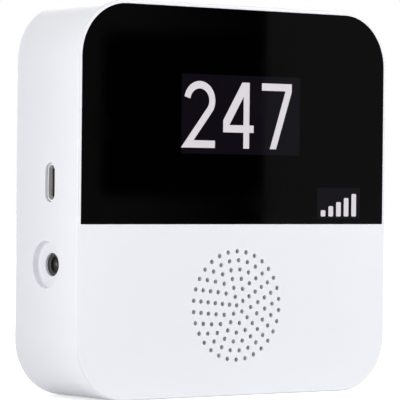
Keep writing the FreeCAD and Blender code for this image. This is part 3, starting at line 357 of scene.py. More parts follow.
@cache
def plain_weave() -> Tree:
    """Make threads that pass over and under each other, seen from the front, with painted shade where they
    dip.

    Returns:
        The effect's node group.
    """
    effect = SurfaceEffect("plain_weave")
    wire = effect.wire
    axes = wire.add("SeparateXYZ", {0: wire.place()}).outputs
    across, up = (wire.math("DIVIDE", axes[axis], effect.given["Size"]) for axis in "XZ")
    warp, weft = (wire.math("ABSOLUTE", wire.math("SINE", wire.times(way, math.pi))) for way in (across, up))
    turn = wire.math("ADD", wire.math("FLOOR", across), wire.math("FLOOR", up))
    over = wire.math("ABSOLUTE", wire.math("MODULO", turn, 2.0))
    thread = wire.raised(wire.times(warp, over), weft, wire.math("SUBTRACT", 1.0, over))
    # painted shade: the colour darkens towards each thread's edges, where the height falls
    return effect.cover(tone=thread, gloss=thread, height=thread, tone_middle=0.6)


@cache
def circuit_tracks() -> Tree:
    """Make copper tracks and pads under a board's lacquer.

    Returns:
        The effect's node group.
    """
    effect = SurfaceEffect("circuit_tracks")
    wire = effect.wire
    where = wire.place()
    scale = wire.math("DIVIDE", 1.0, effect.given["Size"])
    steps = wire.add("VectorMath", {0: where, "Scale": scale}, operation="SCALE").outputs[0]
    flat = wire.vector("MULTIPLY", steps, (1.0, 0.0, 1.0))
    upright = {"Vector": flat, "Angle": math.pi / 2}
    turned = wire.add("VectorRotate", upright, rotation_type="X_AXIS").outputs[0]
    bricks = wire.add("TexBrick", {
        "Vector": turned, "Color1": (0, 0, 0), "Color2": (0, 0, 0), "Mortar": (1, 1, 1), "Scale": 1.0,
        "Mortar Size": 0.12, "Mortar Smooth": 0.1, "Brick Width": 3.7, "Row Height": 0.9,
    }).outputs["Color"]
    wander = wire.ramp(wire.noise(where, scale=220.0, detail=1.0), start=0.42, end=0.5)
    vias = wire.add("TexVoronoi", {"Vector": turned, "Scale": 0.35}, voronoi_dimensions="2D")
    dots = wire.ramp(vias.outputs["Distance"], start=0.16, end=0.1)
    copper = wire.math("MAXIMUM", wire.times(bricks, wander), dots)
    return effect.cover(tone=copper, gloss=copper, height=copper, tone_middle=0.0)


@cache
def rubbed_edges_and_highlight() -> Tree:
    """Make edges and corners look polished by hands, and lighten their colour there as a painted highlight.

    Returns:
        The effect's node group.
    """
    effect = Effect("rubbed_edges_and_highlight", {
        "Colour": ("colour", (0.5, 0.5, 0.5)), "Roughness": ("number", 0.5), "Reach": ("number", 0.0003),
        "Amount": ("number", 0.5), "Lift": ("number", 1.05),
    }, {"Colour": "colour", "Roughness": "number"})
    wire, given = effect.wire, effect.given
    rounded = wire.add("Bevel", {"Radius": given["Reach"]}, samples=4).outputs["Normal"]
    plain = wire.add("NewGeometry").outputs["Normal"]
    facing = wire.add("VectorMath", {0: rounded, 1: plain}, operation="DOT_PRODUCT").outputs["Value"]
    edge = wire.ramp(facing, start=0.995, end=0.93)
    uneven = wire.ramp(wire.noise(wire.place(), scale=900.0, detail=3.0), start=0.3, end=0.65, low=0.35)
    mask = wire.times(wire.times(edge, uneven), given["Amount"])
    # painted highlight: the colour is lifted along edges and corners; the lower roughness is the real polish
    colour = wire.blend(mask, given["Colour"], wire.shade(given["Colour"], given["Lift"]))
    polish = 0.35
    rough = wire.times(given["Roughness"], wire.math("SUBTRACT", 1.0, wire.times(mask, polish)))
    return effect.put(Colour=colour, Roughness=rough)


@cache
def dust_and_crevice_shade() -> Tree:
    """Make a little dust in the narrow gaps and inner corners, whose darker colour there is also painted
    shade.

    Returns:
        The effect's node group.
    """
    effect = Effect("dust_and_crevice_shade", {
        "Colour": ("colour", (0.5, 0.5, 0.5)), "Dust And Shade": ("colour", (0.45, 0.44, 0.42)),
        "Roughness": ("number", 0.5), "Reach": ("number", 0.0008), "Amount": ("number", 0.3),
    }, {"Colour": "colour", "Roughness": "number"})
    wire, given = effect.wire, effect.given
    open_air = wire.add("AmbientOcclusion", {"Distance": given["Reach"]}, samples=4).outputs["AO"]
    # painted shade: ambient occlusion picks out the hidden gaps and corners, and the dust colour darkens them
    crevice_shade = wire.ramp(open_air, start=0.75, end=0.2)
    uneven = wire.ramp(wire.noise(wire.place(), scale=700.0, detail=4.0), start=0.25, end=0.7, low=0.3)
    mask = wire.times(wire.times(crevice_shade, uneven), given["Amount"])
    dulling = 0.3
    rough = wire.raised(given["Roughness"], mask, dulling)
    return effect.put(Colour=wire.blend(mask, given["Colour"], given["Dust And Shade"]), Roughness=rough)


class Surface(Enum):
    """What a finish looks like close up, each with the effect that makes it."""

    MOULDED = member(moulded_grain)
    DRAWN = member(drawn_metal)
    CELLS = member(open_cells)
    TURNED = member(turned_rings)
    WOVEN = member(plain_weave)
    TRACKS = member(circuit_tracks)


def blank_material(name: str) -> tuple[bpy.types.Material, Wiring]:
    """Start a material that has no nodes yet.

    Args:
        name: the material's name.

    Returns:
        The material and its wiring.
    """
    material = bpy.data.materials.new(name)
    material.use_nodes = True
    return material, Wiring(material.node_tree)


@dataclass(frozen=True)
class Finish:
    """One finish: its colour, how it shines and what its surface is like."""

    name: str
    colour: Colour
    roughness: float
    surface: Surface = Surface.MOULDED
    size: float = 0.0003
    shade: float = 0.03
    spread: float = 0.06
    depth: float = 4e-6
    lines: Point3 = (300.0, 300.0, 6000.0)
    metallic: float = 0.0
    specular: float = 0.5
    coat: float = 0.0
    coat_roughness: float = 0.1
    clearness: float = 0.0
    glow: float = 0.0
    rubbed_and_highlight: float = 0.0
    dust_and_shade: float = 0.0

    def make(self) -> bpy.types.Material:
        """Build the material, or give the one that was built before.

        Returns:
            The material.
        """
        known = bpy.data.materials.get(f"finish_{self.name}")
        if known:
            return known
        material, wire = blank_material(f"finish_{self.name}")
        colour, rough, height = self.base(wire)
        # wear and dust, with painted highlight on edges and painted shade in gaps and corners
        for amount, wear_and_painted_light in ((self.rubbed_and_highlight, rubbed_edges_and_highlight), (self.dust_and_shade, dust_and_crevice_shade)):
            if amount:
                worn_and_painted = wire.group(wear_and_painted_light(), {"Colour": colour, "Roughness": rough, "Amount": amount})
                colour, rough = worn_and_painted["Colour"], worn_and_painted["Roughness"]
        bump = wire.add("Bump", {"Height": height, "Distance": self.depth, "Strength": 1.0})
        shader = wire.add("BsdfPrincipled", {
            "Base Color": colour, "Roughness": rough, "Normal": bump.outputs[0], "Metallic": self.metallic,
            "Specular IOR Level": self.specular, "Coat Weight": self.coat,
            "Coat Roughness": self.coat_roughness, "Transmission Weight": self.clearness,
        })
        if self.glow:
            wire.feed(shader.inputs["Emission Color"], colour)
            wire.feed(shader.inputs["Emission Strength"], self.glow)
        wire.add("OutputMaterial", {"Surface": shader.outputs[0]})
        return material

    def base(self, wire: Wiring) -> tuple[Wired, Wired, Wired]:
        """Give colour, roughness and height over the bare surface.

        Args:
            wire: the material's wiring.

        Returns:
            The three sockets, in that order.
        """
        scale = {"Lines": self.lines} if self.surface is Surface.DRAWN else {"Size": self.size}
        values = {"Colour": self.colour, "Shade": self.shade, "Roughness": self.roughness,
                  "Spread": self.spread, **scale}
        out = wire.group(self.surface.value(), values)
        return out["Colour"], out["Roughness"], out["Height"]


@dataclass(frozen=True)
class SmokedWindow(Finish):
    """Polished smoked plastic that is a touch clearer where light is to come through."""

    clearer: Colour = (0.0050, 0.0042, 0.0068)
    openings: tuple[tuple[float, float, float, float], ...] = ()
    softness: float = 0.0003

    def base(self, wire: Wiring) -> tuple[Wired, Wired, Wired]:
        """Give colour, roughness and height, with the clearer openings mixed in.

        Args:
            wire: the material's wiring.

        Returns:
            The three sockets, in that order.
        """
        colour, rough, height = super().base(wire)
        axes = wire.add("SeparateXYZ", {0: wire.place()}).outputs
        for left, right, low, high in self.openings:
            inside: Wired = 1.0
            for axis, start, end in (("X", left, right), ("Z", low, high)):
                centre, half = (start + end) / 2 * MM, (end - start) / 2 * MM
                away = wire.math("ABSOLUTE", wire.math("SUBTRACT", axes[axis], centre))
                inside = wire.times(inside, wire.ramp(away, start=half, end=half - self.softness))
            colour = wire.blend(inside, colour, self.clearer)
        smear = wire.ramp(wire.noise(wire.place(), scale=70.0, detail=5.0), start=0.45, end=0.8, high=0.05)
        return colour, wire.math("ADD", rough, smear), height


WHITE_SHELL = Finish("white_shell", (0.80, 0.805, 0.85), 0.35, shade=0.012, spread=0.08, depth=3e-6,
                     size=0.00022, specular=0.4, rubbed_and_highlight=0.35, dust_and_shade=0.10)
WHITE_KEY = Finish("white_key", (0.79, 0.795, 0.84), 0.36, shade=0.012, depth=3e-6, size=0.00018,
                   specular=0.4, rubbed_and_highlight=0.6, dust_and_shade=0.08)
TAPE = Finish("tape", (0.02, 0.02, 0.021), 0.7, Surface.CELLS, size=0.0002, depth=1e-5)
LIGHT_BOX = Finish("light_box", (0.86, 0.86, 0.85), 0.55, shade=0.04)
DIFFUSER = Finish("diffuser", (0.84, 0.84, 0.82), 0.65, shade=0.05, size=0.00008, depth=8e-6, specular=0.3)
LAMP_RESIN = Finish("lamp_resin", (0.86, 0.78, 0.42), 0.3, shade=0.15, size=0.0009, coat=0.6)
CLEAR_GUIDE = Finish("clear_guide", (0.86, 0.88, 0.9), 0.08, shade=0.02, clearness=0.9, size=0.002)
BOARD_GREEN = Finish("board_green", (0.015, 0.11, 0.05), 0.32, Surface.TRACKS, size=0.0012, shade=1.1,
                     depth=3e-5, coat=0.4, coat_roughness=0.2)
RADIO_BOARD = Finish("radio_board", (0.012, 0.06, 0.14), 0.3, Surface.TRACKS, size=0.0007, shade=1.0,
                     depth=2e-5, coat=0.4, coat_roughness=0.2)
CHIP_BLACK = Finish("chip_black", (0.022, 0.022, 0.024), 0.5, shade=0.2, size=0.00008, depth=6e-6, rubbed_and_highlight=0.4)
TINNED_STEEL = Finish("tinned_steel", (0.60, 0.60, 0.61), 0.32, Surface.DRAWN, metallic=1.0, depth=3e-6,
                      rubbed_and_highlight=0.4)
SATIN_SHELL = Finish("satin_shell", (0.84, 0.84, 0.87), 0.5, Surface.DRAWN, metallic=0.5, depth=3e-6,
                     lines=(300.0, 300.0, 5000.0))
SCREW_STEEL = Finish("screw_steel", (0.52, 0.53, 0.55), 0.34, Surface.DRAWN, metallic=1.0, shade=0.2,
                     lines=(2500.0, 400.0, 2500.0), depth=3e-6, rubbed_and_highlight=0.5, dust_and_shade=0.25)
BLACK_PLASTIC = Finish("black_plastic", (0.016, 0.016, 0.018), 0.38, shade=0.2, size=0.00015, depth=4e-6,
                       rubbed_and_highlight=0.4, dust_and_shade=0.05)
TONGUE_BLACK = Finish("tongue_black", (0.010, 0.010, 0.011), 0.6, shade=0.2, size=0.00015, specular=0.1)
NICKEL_SLEEVE = Finish("nickel_sleeve", (0.60, 0.59, 0.57), 0.30, Surface.DRAWN, metallic=0.9,
                       lines=(6000.0, 300.0, 300.0), depth=2e-6, rubbed_and_highlight=0.3)
GRILLE_CLOTH = Finish("grille_cloth", (0.024, 0.024, 0.027), 0.85, Surface.WOVEN, size=0.00022, shade=0.9,
                      depth=5e-5, specular=0.2)
FOAM_BLACK = Finish("foam_black", (0.03, 0.03, 0.031), 0.9, Surface.CELLS, size=0.0004, depth=8e-5,
                    specular=0.2)
PAINTED_STEEL = Finish("painted_steel", (0.035, 0.035, 0.037), 0.42, shade=0.15, size=0.0006, depth=1e-5,
                       rubbed_and_highlight=0.5)
ZINC_STEEL = Finish("zinc_steel", (0.46, 0.47, 0.49), 0.36, Surface.TURNED, metallic=1.0, size=0.0005,
                    depth=3e-6, rubbed_and_highlight=0.3)
CONE_PAPER = Finish("cone_paper", (0.045, 0.045, 0.048), 0.75, Surface.TURNED, size=0.0019, shade=0.35,
                    depth=4e-5, specular=0.3)
RUBBER = Finish("rubber", (0.026, 0.026, 0.027), 0.7, shade=0.15, size=0.0002, depth=8e-6, specular=0.35,
                dust_and_shade=0.08)
COPPER = Finish("copper", (0.62, 0.27, 0.12), 0.28, Surface.DRAWN, metallic=1.0, lines=(300.0, 7000.0, 300.0),
                depth=2e-5, coat=0.5)
LAMINATE = Finish("laminate", (0.23, 0.13, 0.06), 0.5, Surface.DRAWN, lines=(900.0, 300.0, 5000.0),
                  shade=0.25)
CONNECTOR = Finish("connector", (0.80, 0.78, 0.70), 0.45, shade=0.05, size=0.00018)
LEAD_SKIN = Finish("lead_skin", (0.02, 0.02, 0.021), 0.45, shade=0.15, size=0.0006)
BATTERY_FOIL = Finish("battery_foil", (0.62, 0.62, 0.64), 0.3, Surface.CELLS, metallic=1.0, size=0.006,
                      shade=0.12, spread=0.15, depth=1.2e-4)
SWITCH_BLACK = Finish("switch_black", (0.03, 0.03, 0.031), 0.5, shade=0.15, size=0.0002, depth=5e-6,
                      rubbed_and_highlight=0.4)
CAPACITOR_CAN = Finish("capacitor_can", (0.66, 0.66, 0.68), 0.28, Surface.DRAWN, metallic=1.0,
                       lines=(300.0, 5000.0, 300.0), depth=2e-6)
GOLD_PAD = Finish("gold_pad", (0.75, 0.55, 0.25), 0.25, Surface.DRAWN, metallic=1.0,
                  lines=(5000.0, 300.0, 300.0), depth=2e-6)
LIT_MARK = Finish("lit_mark", (0.44, 0.415, 0.445), 0.5, shade=0.06, size=0.0009, depth=2e-6, specular=0.3,
                  glow=0.5)
WINDOW = SmokedWindow("smoked_window", (0.0002, 0.0002, 0.0003), 0.035, shade=0.3, spread=0.02, size=0.012,
                      depth=6e-7, specular=0.05,
                      openings=((-17.5, 19.4, 58.6, 78.1), (25.0, 39.2, 43.0, 51.0)))


def dress(node: str, finish: Finish) -> None:
    """Give one CAD node its finish.

    Args:
        node: the node's name.
        finish: the finish for all of it.
    """
    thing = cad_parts[node]
    material = finish.make()
    for place in thing.material_slots:
        place.material = material
    log.info("dressed %s in %s", node, finish.name)


def dress_all(finishes: dict[str, Finish]) -> None:
    """Give each named CAD node its finish."""
    for node, finish in finishes.items():
        dress(node, finish)


def finish_piece(thing: bpy.types.Object, finish: Finish, body: str) -> None:
    """Dress a new piece and attach it to the body that it moves with.

    Args:
        thing: the piece, in place.
        finish: the finish for all of it.
        body: the CAD body that it moves with.
    """
    thing.data.materials.append(finish.make())
    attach(thing, body)
    log.info("made %s on %s", thing.name, body)


def mesh_piece(name: str, bm: bmesh.types.BMesh, soften: float = 0.0) -> bpy.types.Object:
    """Turn a built mesh into an object of the scene.

    Args:
        name: the piece's name.
        bm: the mesh, in metres in the row frame, which is freed.
        soften: the width of the bevel on its sharp edges.

    Returns:
        The new object.
    """
    if soften:
        inner = [edge for edge in bm.edges if len(edge.link_faces) == 2]
        sharp = [edge for edge in inner if edge.calc_face_angle() > SHARP_ANGLE]
        bmesh.ops.bevel(bm, geom=sharp, offset=soften, segments=2, profile=0.5, affect="EDGES")
    bmesh.ops.recalc_face_normals(bm, faces=bm.faces)
    mesh = bpy.data.meshes.new(name)
    bm.to_mesh(mesh)
    bm.free()
    thing = bpy.data.objects.new(name, mesh)
    bpy.context.scene.collection.objects.link(thing)
    return thing


def add_slab(bm: bmesh.types.BMesh, low: Vector, high: Vector) -> None:
    """Add one block between two corners.

    Args:
        bm: the mesh to add to.
        low: its lowest corner.
        high: its highest corner.
    """
    centre, span = (low + high) / 2, high - low
    place = Matrix.Translation(centre) @ Matrix.Diagonal((*span, 1.0))
    bmesh.ops.create_cube(bm, size=1.0, matrix=place)


def add_plate(bm: bmesh.types.BMesh, outline: Loop, holes: Sequence[Loop], front: float,
              rear: float) -> None:
    """Add a thin plate that faces the front, cut to an outline with holes.

    Args:
        bm: the mesh to add to.
        outline: the outer corners, as (across, height) in millimetres.
        holes: the corners of each hole.
        front: where its front face lies along Y, in metres.
        rear: where its rear face lies along Y, in metres.
    """
    rims = []
    for loop in (outline, *holes):
        corners = [bm.verts.new((x * MM, rear, z * MM)) for x, z in loop]
        rims += [bm.edges.new((corners[i - 1], corners[i])) for i in range(len(corners))]
    filled = bmesh.ops.triangle_fill(bm, edges=rims, use_beauty=True)
    faces = [item for item in filled["geom"] if isinstance(item, bmesh.types.BMFace)]
    raised = bmesh.ops.extrude_face_region(bm, geom=faces)
    lifted = [item for item in raised["geom"] if isinstance(item, bmesh.types.BMVert)]
    bmesh.ops.translate(bm, verts=lifted, vec=(0.0, front - rear, 0.0))


def stroke_outline(middle: Sequence[Point2], width: float) -> Loop:
    """Give the outline of a pen stroke of one width.

    Args:
        middle: the points that the pen's middle follows.
        width: the stroke's width.

    Returns:
        The corners of the closed outline.
    """
    points = [Vector(point) for point in middle]
    left, right = [], []
    for i, point in enumerate(points):
        before = (point - points[i - 1]).normalized() if i else None
        after = (points[i + 1] - point).normalized() if i + 1 < len(points) else None
        along = ((before or after) + (after or before)).normalized()
        side = Vector((-along.y, along.x))
        lean = side.dot(Vector((-(before or after).y, (before or after).x)))
        left.append(tuple(point + side * (width / 2 / lean)))
        right.append(tuple(point - side * (width / 2 / lean)))
    return left + right[::-1]


def rounded_box(left: float, right: float, low: float, high: float, radius: float, steps: int = 5) -> Loop:
    """Give the outline of a rectangle with round corners.

    Args:
        left: its left side.
        right: its right side.
        low: its lower side.
        high: its upper side.
        radius: the corners' radius.
        steps: how many points each corner has after its first.

    Returns:
        The corners of the closed outline.
    """
    middles = [(right - radius, high - radius, 0), (left + radius, high - radius, 90),
               (left + radius, low + radius, 180), (right - radius, low + radius, 270)]
    return [
        (x + radius * math.cos(math.radians(start + 90 * i / steps)),
         z + radius * math.sin(math.radians(start + 90 * i / steps)))
        for x, z, start in middles
        for i in range(steps + 1)
    ]


@dataclass
class Shell:
    """The front housing, the rear cover and the screws that hold it."""

    def build(self) -> None:
        """Dress the shell."""
        dress("front_housing", WHITE_SHELL)
        dress("rear_cover", WHITE_SHELL)
        for screws in ("cover_screws", "board_screws", "speaker_screws"):
            dress(screws, SCREW_STEEL)


@dataclass
class DisplayWindow:
    """The smoked window, what lights it and the lit marks on it."""

    mark_left: float = -16.6
    mark_low: float = 60.2
    mark_tall: float = 16.1
    numeral_width: float = 9.4
    numeral_gap: float = 2.5
    stroke: float = 1.8
    arc_degrees: tuple[int, int, int] = (170, -31, -10)
    bars_left: float = 26.3
    bars_low: float = 43.7
    bars_tall: float = 5.65
    bar_width: float = 1.5
    bar_pitch: float = 2.5
    bar_radius: float = 0.3
    bar_count: int = 5
    first_bar_steps: float = 1.5
    proud: float = 0.035
    sunk: float = 0.01

    def build(self) -> None:
        """Dress the window and its lights, and make the marks."""
        dress_all({
            "display_window": WINDOW, "window_tape": TAPE, "display_light_box": LIGHT_BOX,
            "display_diffuser": DIFFUSER, "display_leds": LAMP_RESIN, "signal_led": LAMP_RESIN,
            "signal_light_guide": CLEAR_GUIDE,
        })
        self.make_numerals()
        self.make_bars()

    def depths(self) -> tuple[float, float]:
        """Give where the marks' front and rear faces lie along Y, in metres."""
        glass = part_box("display_window")[0].y
        return glass - self.proud * MM, glass + self.sunk * MM

    def make_numerals(self) -> None:
        """Make the three tall numerals."""
        bm = bmesh.new()
        front, rear = self.depths()
        drawings = (self.two(), self.four(), self.seven())
        for place, (outline, holes) in enumerate(drawings):
            shift = self.mark_left + place * (self.numeral_width + self.numeral_gap)
            moved = [[(x + shift, z + self.mark_low) for x, z in loop] for loop in (outline, *holes)]
            add_plate(bm, moved[0], moved[1:], front, rear)
        finish_piece(mesh_piece("display_numerals", bm), LIT_MARK, HOUSING)

    def two(self) -> tuple[Loop, list[Loop]]:
        """Draw the first numeral with one bent stroke.

        Returns:
            Its outline, and no holes.
        """
        half = self.stroke / 2
        reach = self.numeral_width / 2 - half
        x, z = self.numeral_width / 2, self.mark_tall - half - reach
        angles = (math.radians(degrees) for degrees in range(*self.arc_degrees))
        arc = [(x + reach * math.cos(angle), z + reach * math.sin(angle)) for angle in angles]
        foot_left = half * 1.15
        foot = [(foot_left, half), (self.numeral_width, half)]
        return stroke_outline([*arc, *foot], self.stroke), []

    def four(self) -> tuple[Loop, list[Loop]]:
        """Draw the second numeral, with its three-cornered opening.

        Returns:
            Its outline and its hole.
        """
        wide, tall, pen = self.numeral_width, self.mark_tall, self.stroke
        stem_right = wide - pen * 0.75
        stem_left = stem_right - pen
        bar_low = tall * 0.24
        bar_high = bar_low + pen
        lean = pen * 0.62
        top_left = stem_left - lean * 0.4
        outline = [
            (stem_left, 0), (stem_right, 0), (stem_right, bar_low), (wide, bar_low), (wide, bar_high),
            (stem_right, bar_high), (stem_right, tall), (top_left, tall), (0, bar_high + lean),
            (0, bar_low), (stem_left, bar_low),
        ]
        rise = (tall - bar_high - lean) / top_left
        inner_left = pen * 1.12 - lean * 0.1
        opening = [
            (stem_left, bar_high), (inner_left, bar_high),
            (stem_left, bar_high + rise * (stem_left - inner_left)),
        ]
        return outline, [opening]

    def seven(self) -> tuple[Loop, list[Loop]]:
        """Draw the third numeral with its slanting leg.

        Returns:
            Its outline, and no holes.
        """
        wide, tall, pen = self.numeral_width, self.mark_tall, self.stroke
        foot = wide * 0.28
        leg = pen * 1.08
        shoulder = tall - pen * 1.1
        outline = [
            (0, tall), (wide, tall), (wide, shoulder), (foot + leg, 0), (foot, 0), (wide - leg, tall - pen),
            (0, tall - pen),
        ]
        return outline, []

    def make_bars(self) -> None:
        """Make the small rising bars."""
        bm = bmesh.new()
        front, rear = self.depths()
        all_steps = self.bar_count - 1 + self.first_bar_steps
        for number in range(self.bar_count):
            left = self.bars_left + number * self.bar_pitch
            high = self.bars_low + self.bars_tall * (number + self.first_bar_steps) / all_steps
            outline = rounded_box(left, left + self.bar_width, self.bars_low, high, self.bar_radius)
            add_plate(bm, outline, [], front, rear)
        finish_piece(mesh_piece("signal_bars", bm), LIT_MARK, HOUSING)


@dataclass
class SidePorts:
    """The power socket and the audio socket in the left side."""

    tongue_thick: float = 0.7
    pads: int = 12
    pad_start: float = 0.5
    pad_pitch: float = 0.5
    pad_width: float = 0.26
    pad_length: float = 3.6
    pad_thick: float = 0.04
    pad_bevel: float = 0.01
    sleeve_wall: float = 0.4
    leaf_width: float = 1.1
    leaf_thick: float = 0.15
    leaf_inset: float = 0.12
    leaf_start: float = 0.78
    leaf_length: float = 6.0
    leaf_rise: float = 0.45
    leaf_steps: int = 12
    leaf_bevel: float = 0.02

    def build(self) -> None:
        """Dress the sockets, and make their contacts."""
        dress_all({
            "usb_c_shell": SATIN_SHELL, "usb_c_tongue": TONGUE_BLACK, "jack_body": BLACK_PLASTIC,
            "jack_sleeve": NICKEL_SLEEVE, "jack_contacts": TINNED_STEEL,
        })
        self.make_pads()
        self.make_leaf()

    def make_pads(self) -> None:
        """Make the rows of gold pads on both faces of the power socket's tongue."""
        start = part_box("usb_c_tongue")[0].x + self.pad_start * MM
        low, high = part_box("usb_c_shell")
        middle = (low + high) / 2
        half = Vector((0.0, self.pad_thick / 2, self.pad_width / 2)) * MM
        bm = bmesh.new()
        for side in (-1, 1):
            face = middle.y + side * self.tongue_thick / 2 * MM
            for number in range(self.pads):
                height = middle.z + (number - (self.pads - 1) / 2) * self.pad_pitch * MM
                near = Vector((start, face, height))
                far = Vector((start + self.pad_length * MM, face, height))
                add_slab(bm, near - half, far + half)
        piece = mesh_piece("power_socket_pads", bm, soften=self.pad_bevel * MM)
        finish_piece(piece, GOLD_PAD, HOUSING)

    def make_leaf(self) -> None:
        """Make the sprung contact that bows into the audio socket's bore."""
        low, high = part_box("jack_sleeve")
        middle = (low + high) / 2
        bore = (high.z - low.z) / 2 - self.sleeve_wall * MM
        half_width = self.leaf_width / 2 * MM
        bm = bmesh.new()
        rows = []
        for step in range(self.leaf_steps + 1):
            share = step / self.leaf_steps
            x = low.x + (self.leaf_start + self.leaf_length * share) * MM
            bow = math.sin(math.pi * share) * self.leaf_rise
            inner = middle.y + bore - (self.leaf_inset + bow) * MM
            outer = inner + self.leaf_thick * MM
            rows.append([
                bm.verts.new((x, y, middle.z + side * half_width))
                for y, side in ((inner, -1), (inner, 1), (outer, 1), (outer, -1))
            ])
        for near, far in zip(rows, rows[1:]):
            for i in range(len(near)):
                bm.faces.new((near[i - 1], near[i], far[i], far[i - 1]))
        bm.faces.new(rows[0])
        bm.faces.new(rows[-1][::-1])
        piece = mesh_piece("audio_socket_leaf", bm, soften=self.leaf_bevel * MM)
        finish_piece(piece, NICKEL_SLEEVE, HOUSING)


@dataclass
class Speaker:
    """The speaker behind the grille."""

    def build(self) -> None:
        """Dress the speaker."""
        dress_all({
            "grille_cloth": GRILLE_CLOTH, "speaker_gasket": FOAM_BLACK, "speaker_basket": PAINTED_STEEL,
            "speaker_yoke": ZINC_STEEL, "speaker_magnet": ZINC_STEEL, "pole_plate": ZINC_STEEL,
            "voice_coil": COPPER, "speaker_cone": CONE_PAPER, "speaker_surround": RUBBER,
            "dust_cap": CONE_PAPER, "speaker_terminal": LAMINATE, "speaker_connector": CONNECTOR,
            "speaker_leads": LEAD_SKIN,
        })


@dataclass
class Electronics:
    """The board, what is soldered to it, the battery, the microphone and the antenna."""

    def build(self) -> None:
        """Dress the electronics."""
        dress_all({
            "main_board": BOARD_GREEN, "processor_chip": CHIP_BLACK, "amplifier_chip": CHIP_BLACK,
            "power_inductor": CHIP_BLACK, "radio_can": TINNED_STEEL, "wifi_board": RADIO_BOARD,
            "wifi_can": TINNED_STEEL, "board_capacitors": CAPACITOR_CAN, "backup_battery": BATTERY_FOIL,
            "battery_tape": FOAM_BLACK, "battery_connector": CONNECTOR, "battery_leads": LEAD_SKIN,
            "radio_antenna": COPPER, "microphone_boot": RUBBER, "microphone": TINNED_STEEL,
            "microphone_leads": LEAD_SKIN,
        })


@dataclass
class SideButtons:
    """The two flush buttons and their switches."""

    def build(self) -> None:
        """Dress the buttons."""
        for name in ("upper", "lower"):
            dress(f"{name}_button", WHITE_KEY)
            dress(f"{name}_switch", SWITCH_BLACK)
            dress(f"{name}_plunger", SWITCH_BLACK)


@dataclass(frozen=True)
class Viewpoint:
    """Where the photograph was taken from, measured in heights of the object."""

    object_height: float = 0.095
    yaw: float = 37.3404
    pitch: float = -0.2893
    roll: float = 0.5613
    distance: float = 7.2669
    shift_right: float = -0.0969
    shift_up: float = 0.0018
    lens_pixels: float = 2836.08
    image_pixels: float = 400.0
    sensor: float = 36.0
    aim_height: float = 0.5
    clip_metres: Point2 = (0.05, 20.0)

    def axes(self) -> tuple[Vector, Vector, Vector]:
        """Work out how the camera is turned.

        Returns:
            The directions to its right, upwards and ahead.
        """
        yaw, pitch, roll = (math.radians(angle) for angle in (self.yaw, self.pitch, self.roll))
        ahead = Vector((math.sin(yaw) * math.cos(pitch), math.cos(yaw) * math.cos(pitch), math.sin(pitch)))
        level = Vector((math.cos(yaw), -math.sin(yaw), 0.0))
        upward = level.cross(ahead)
        right = math.cos(roll) * level + math.sin(roll) * upward
        up = math.cos(roll) * upward - math.sin(roll) * level
        return right, up, ahead

    def place(self) -> Vector:
        """Work out where the camera stands.

        Returns:
            Its place in metres.
        """
        right, up, ahead = self.axes()
        middle = Vector((0.0, 0.0, self.aim_height)) - ahead * self.distance
        moved = middle + right * self.shift_right + up * self.shift_up
        return moved * self.object_height + Vector((0.0, CAD_BOX[0].y, 0.0))

    def build(self) -> None:
        """Set the scene's camera there."""
        right, up, ahead = self.axes()
        lens = bpy.data.cameras.new("camera")
        lens.sensor_width = self.sensor
        lens.lens = self.lens_pixels / self.image_pixels * self.sensor
        lens.clip_start, lens.clip_end = self.clip_metres
        camera = bpy.data.objects.new("camera", lens)
        bpy.context.scene.collection.objects.link(camera)
        turned = Matrix((right, up, -ahead)).transposed().to_4x4()
        camera.matrix_world = Matrix.Translation(self.place()) @ turned
        bpy.context.scene.camera = camera


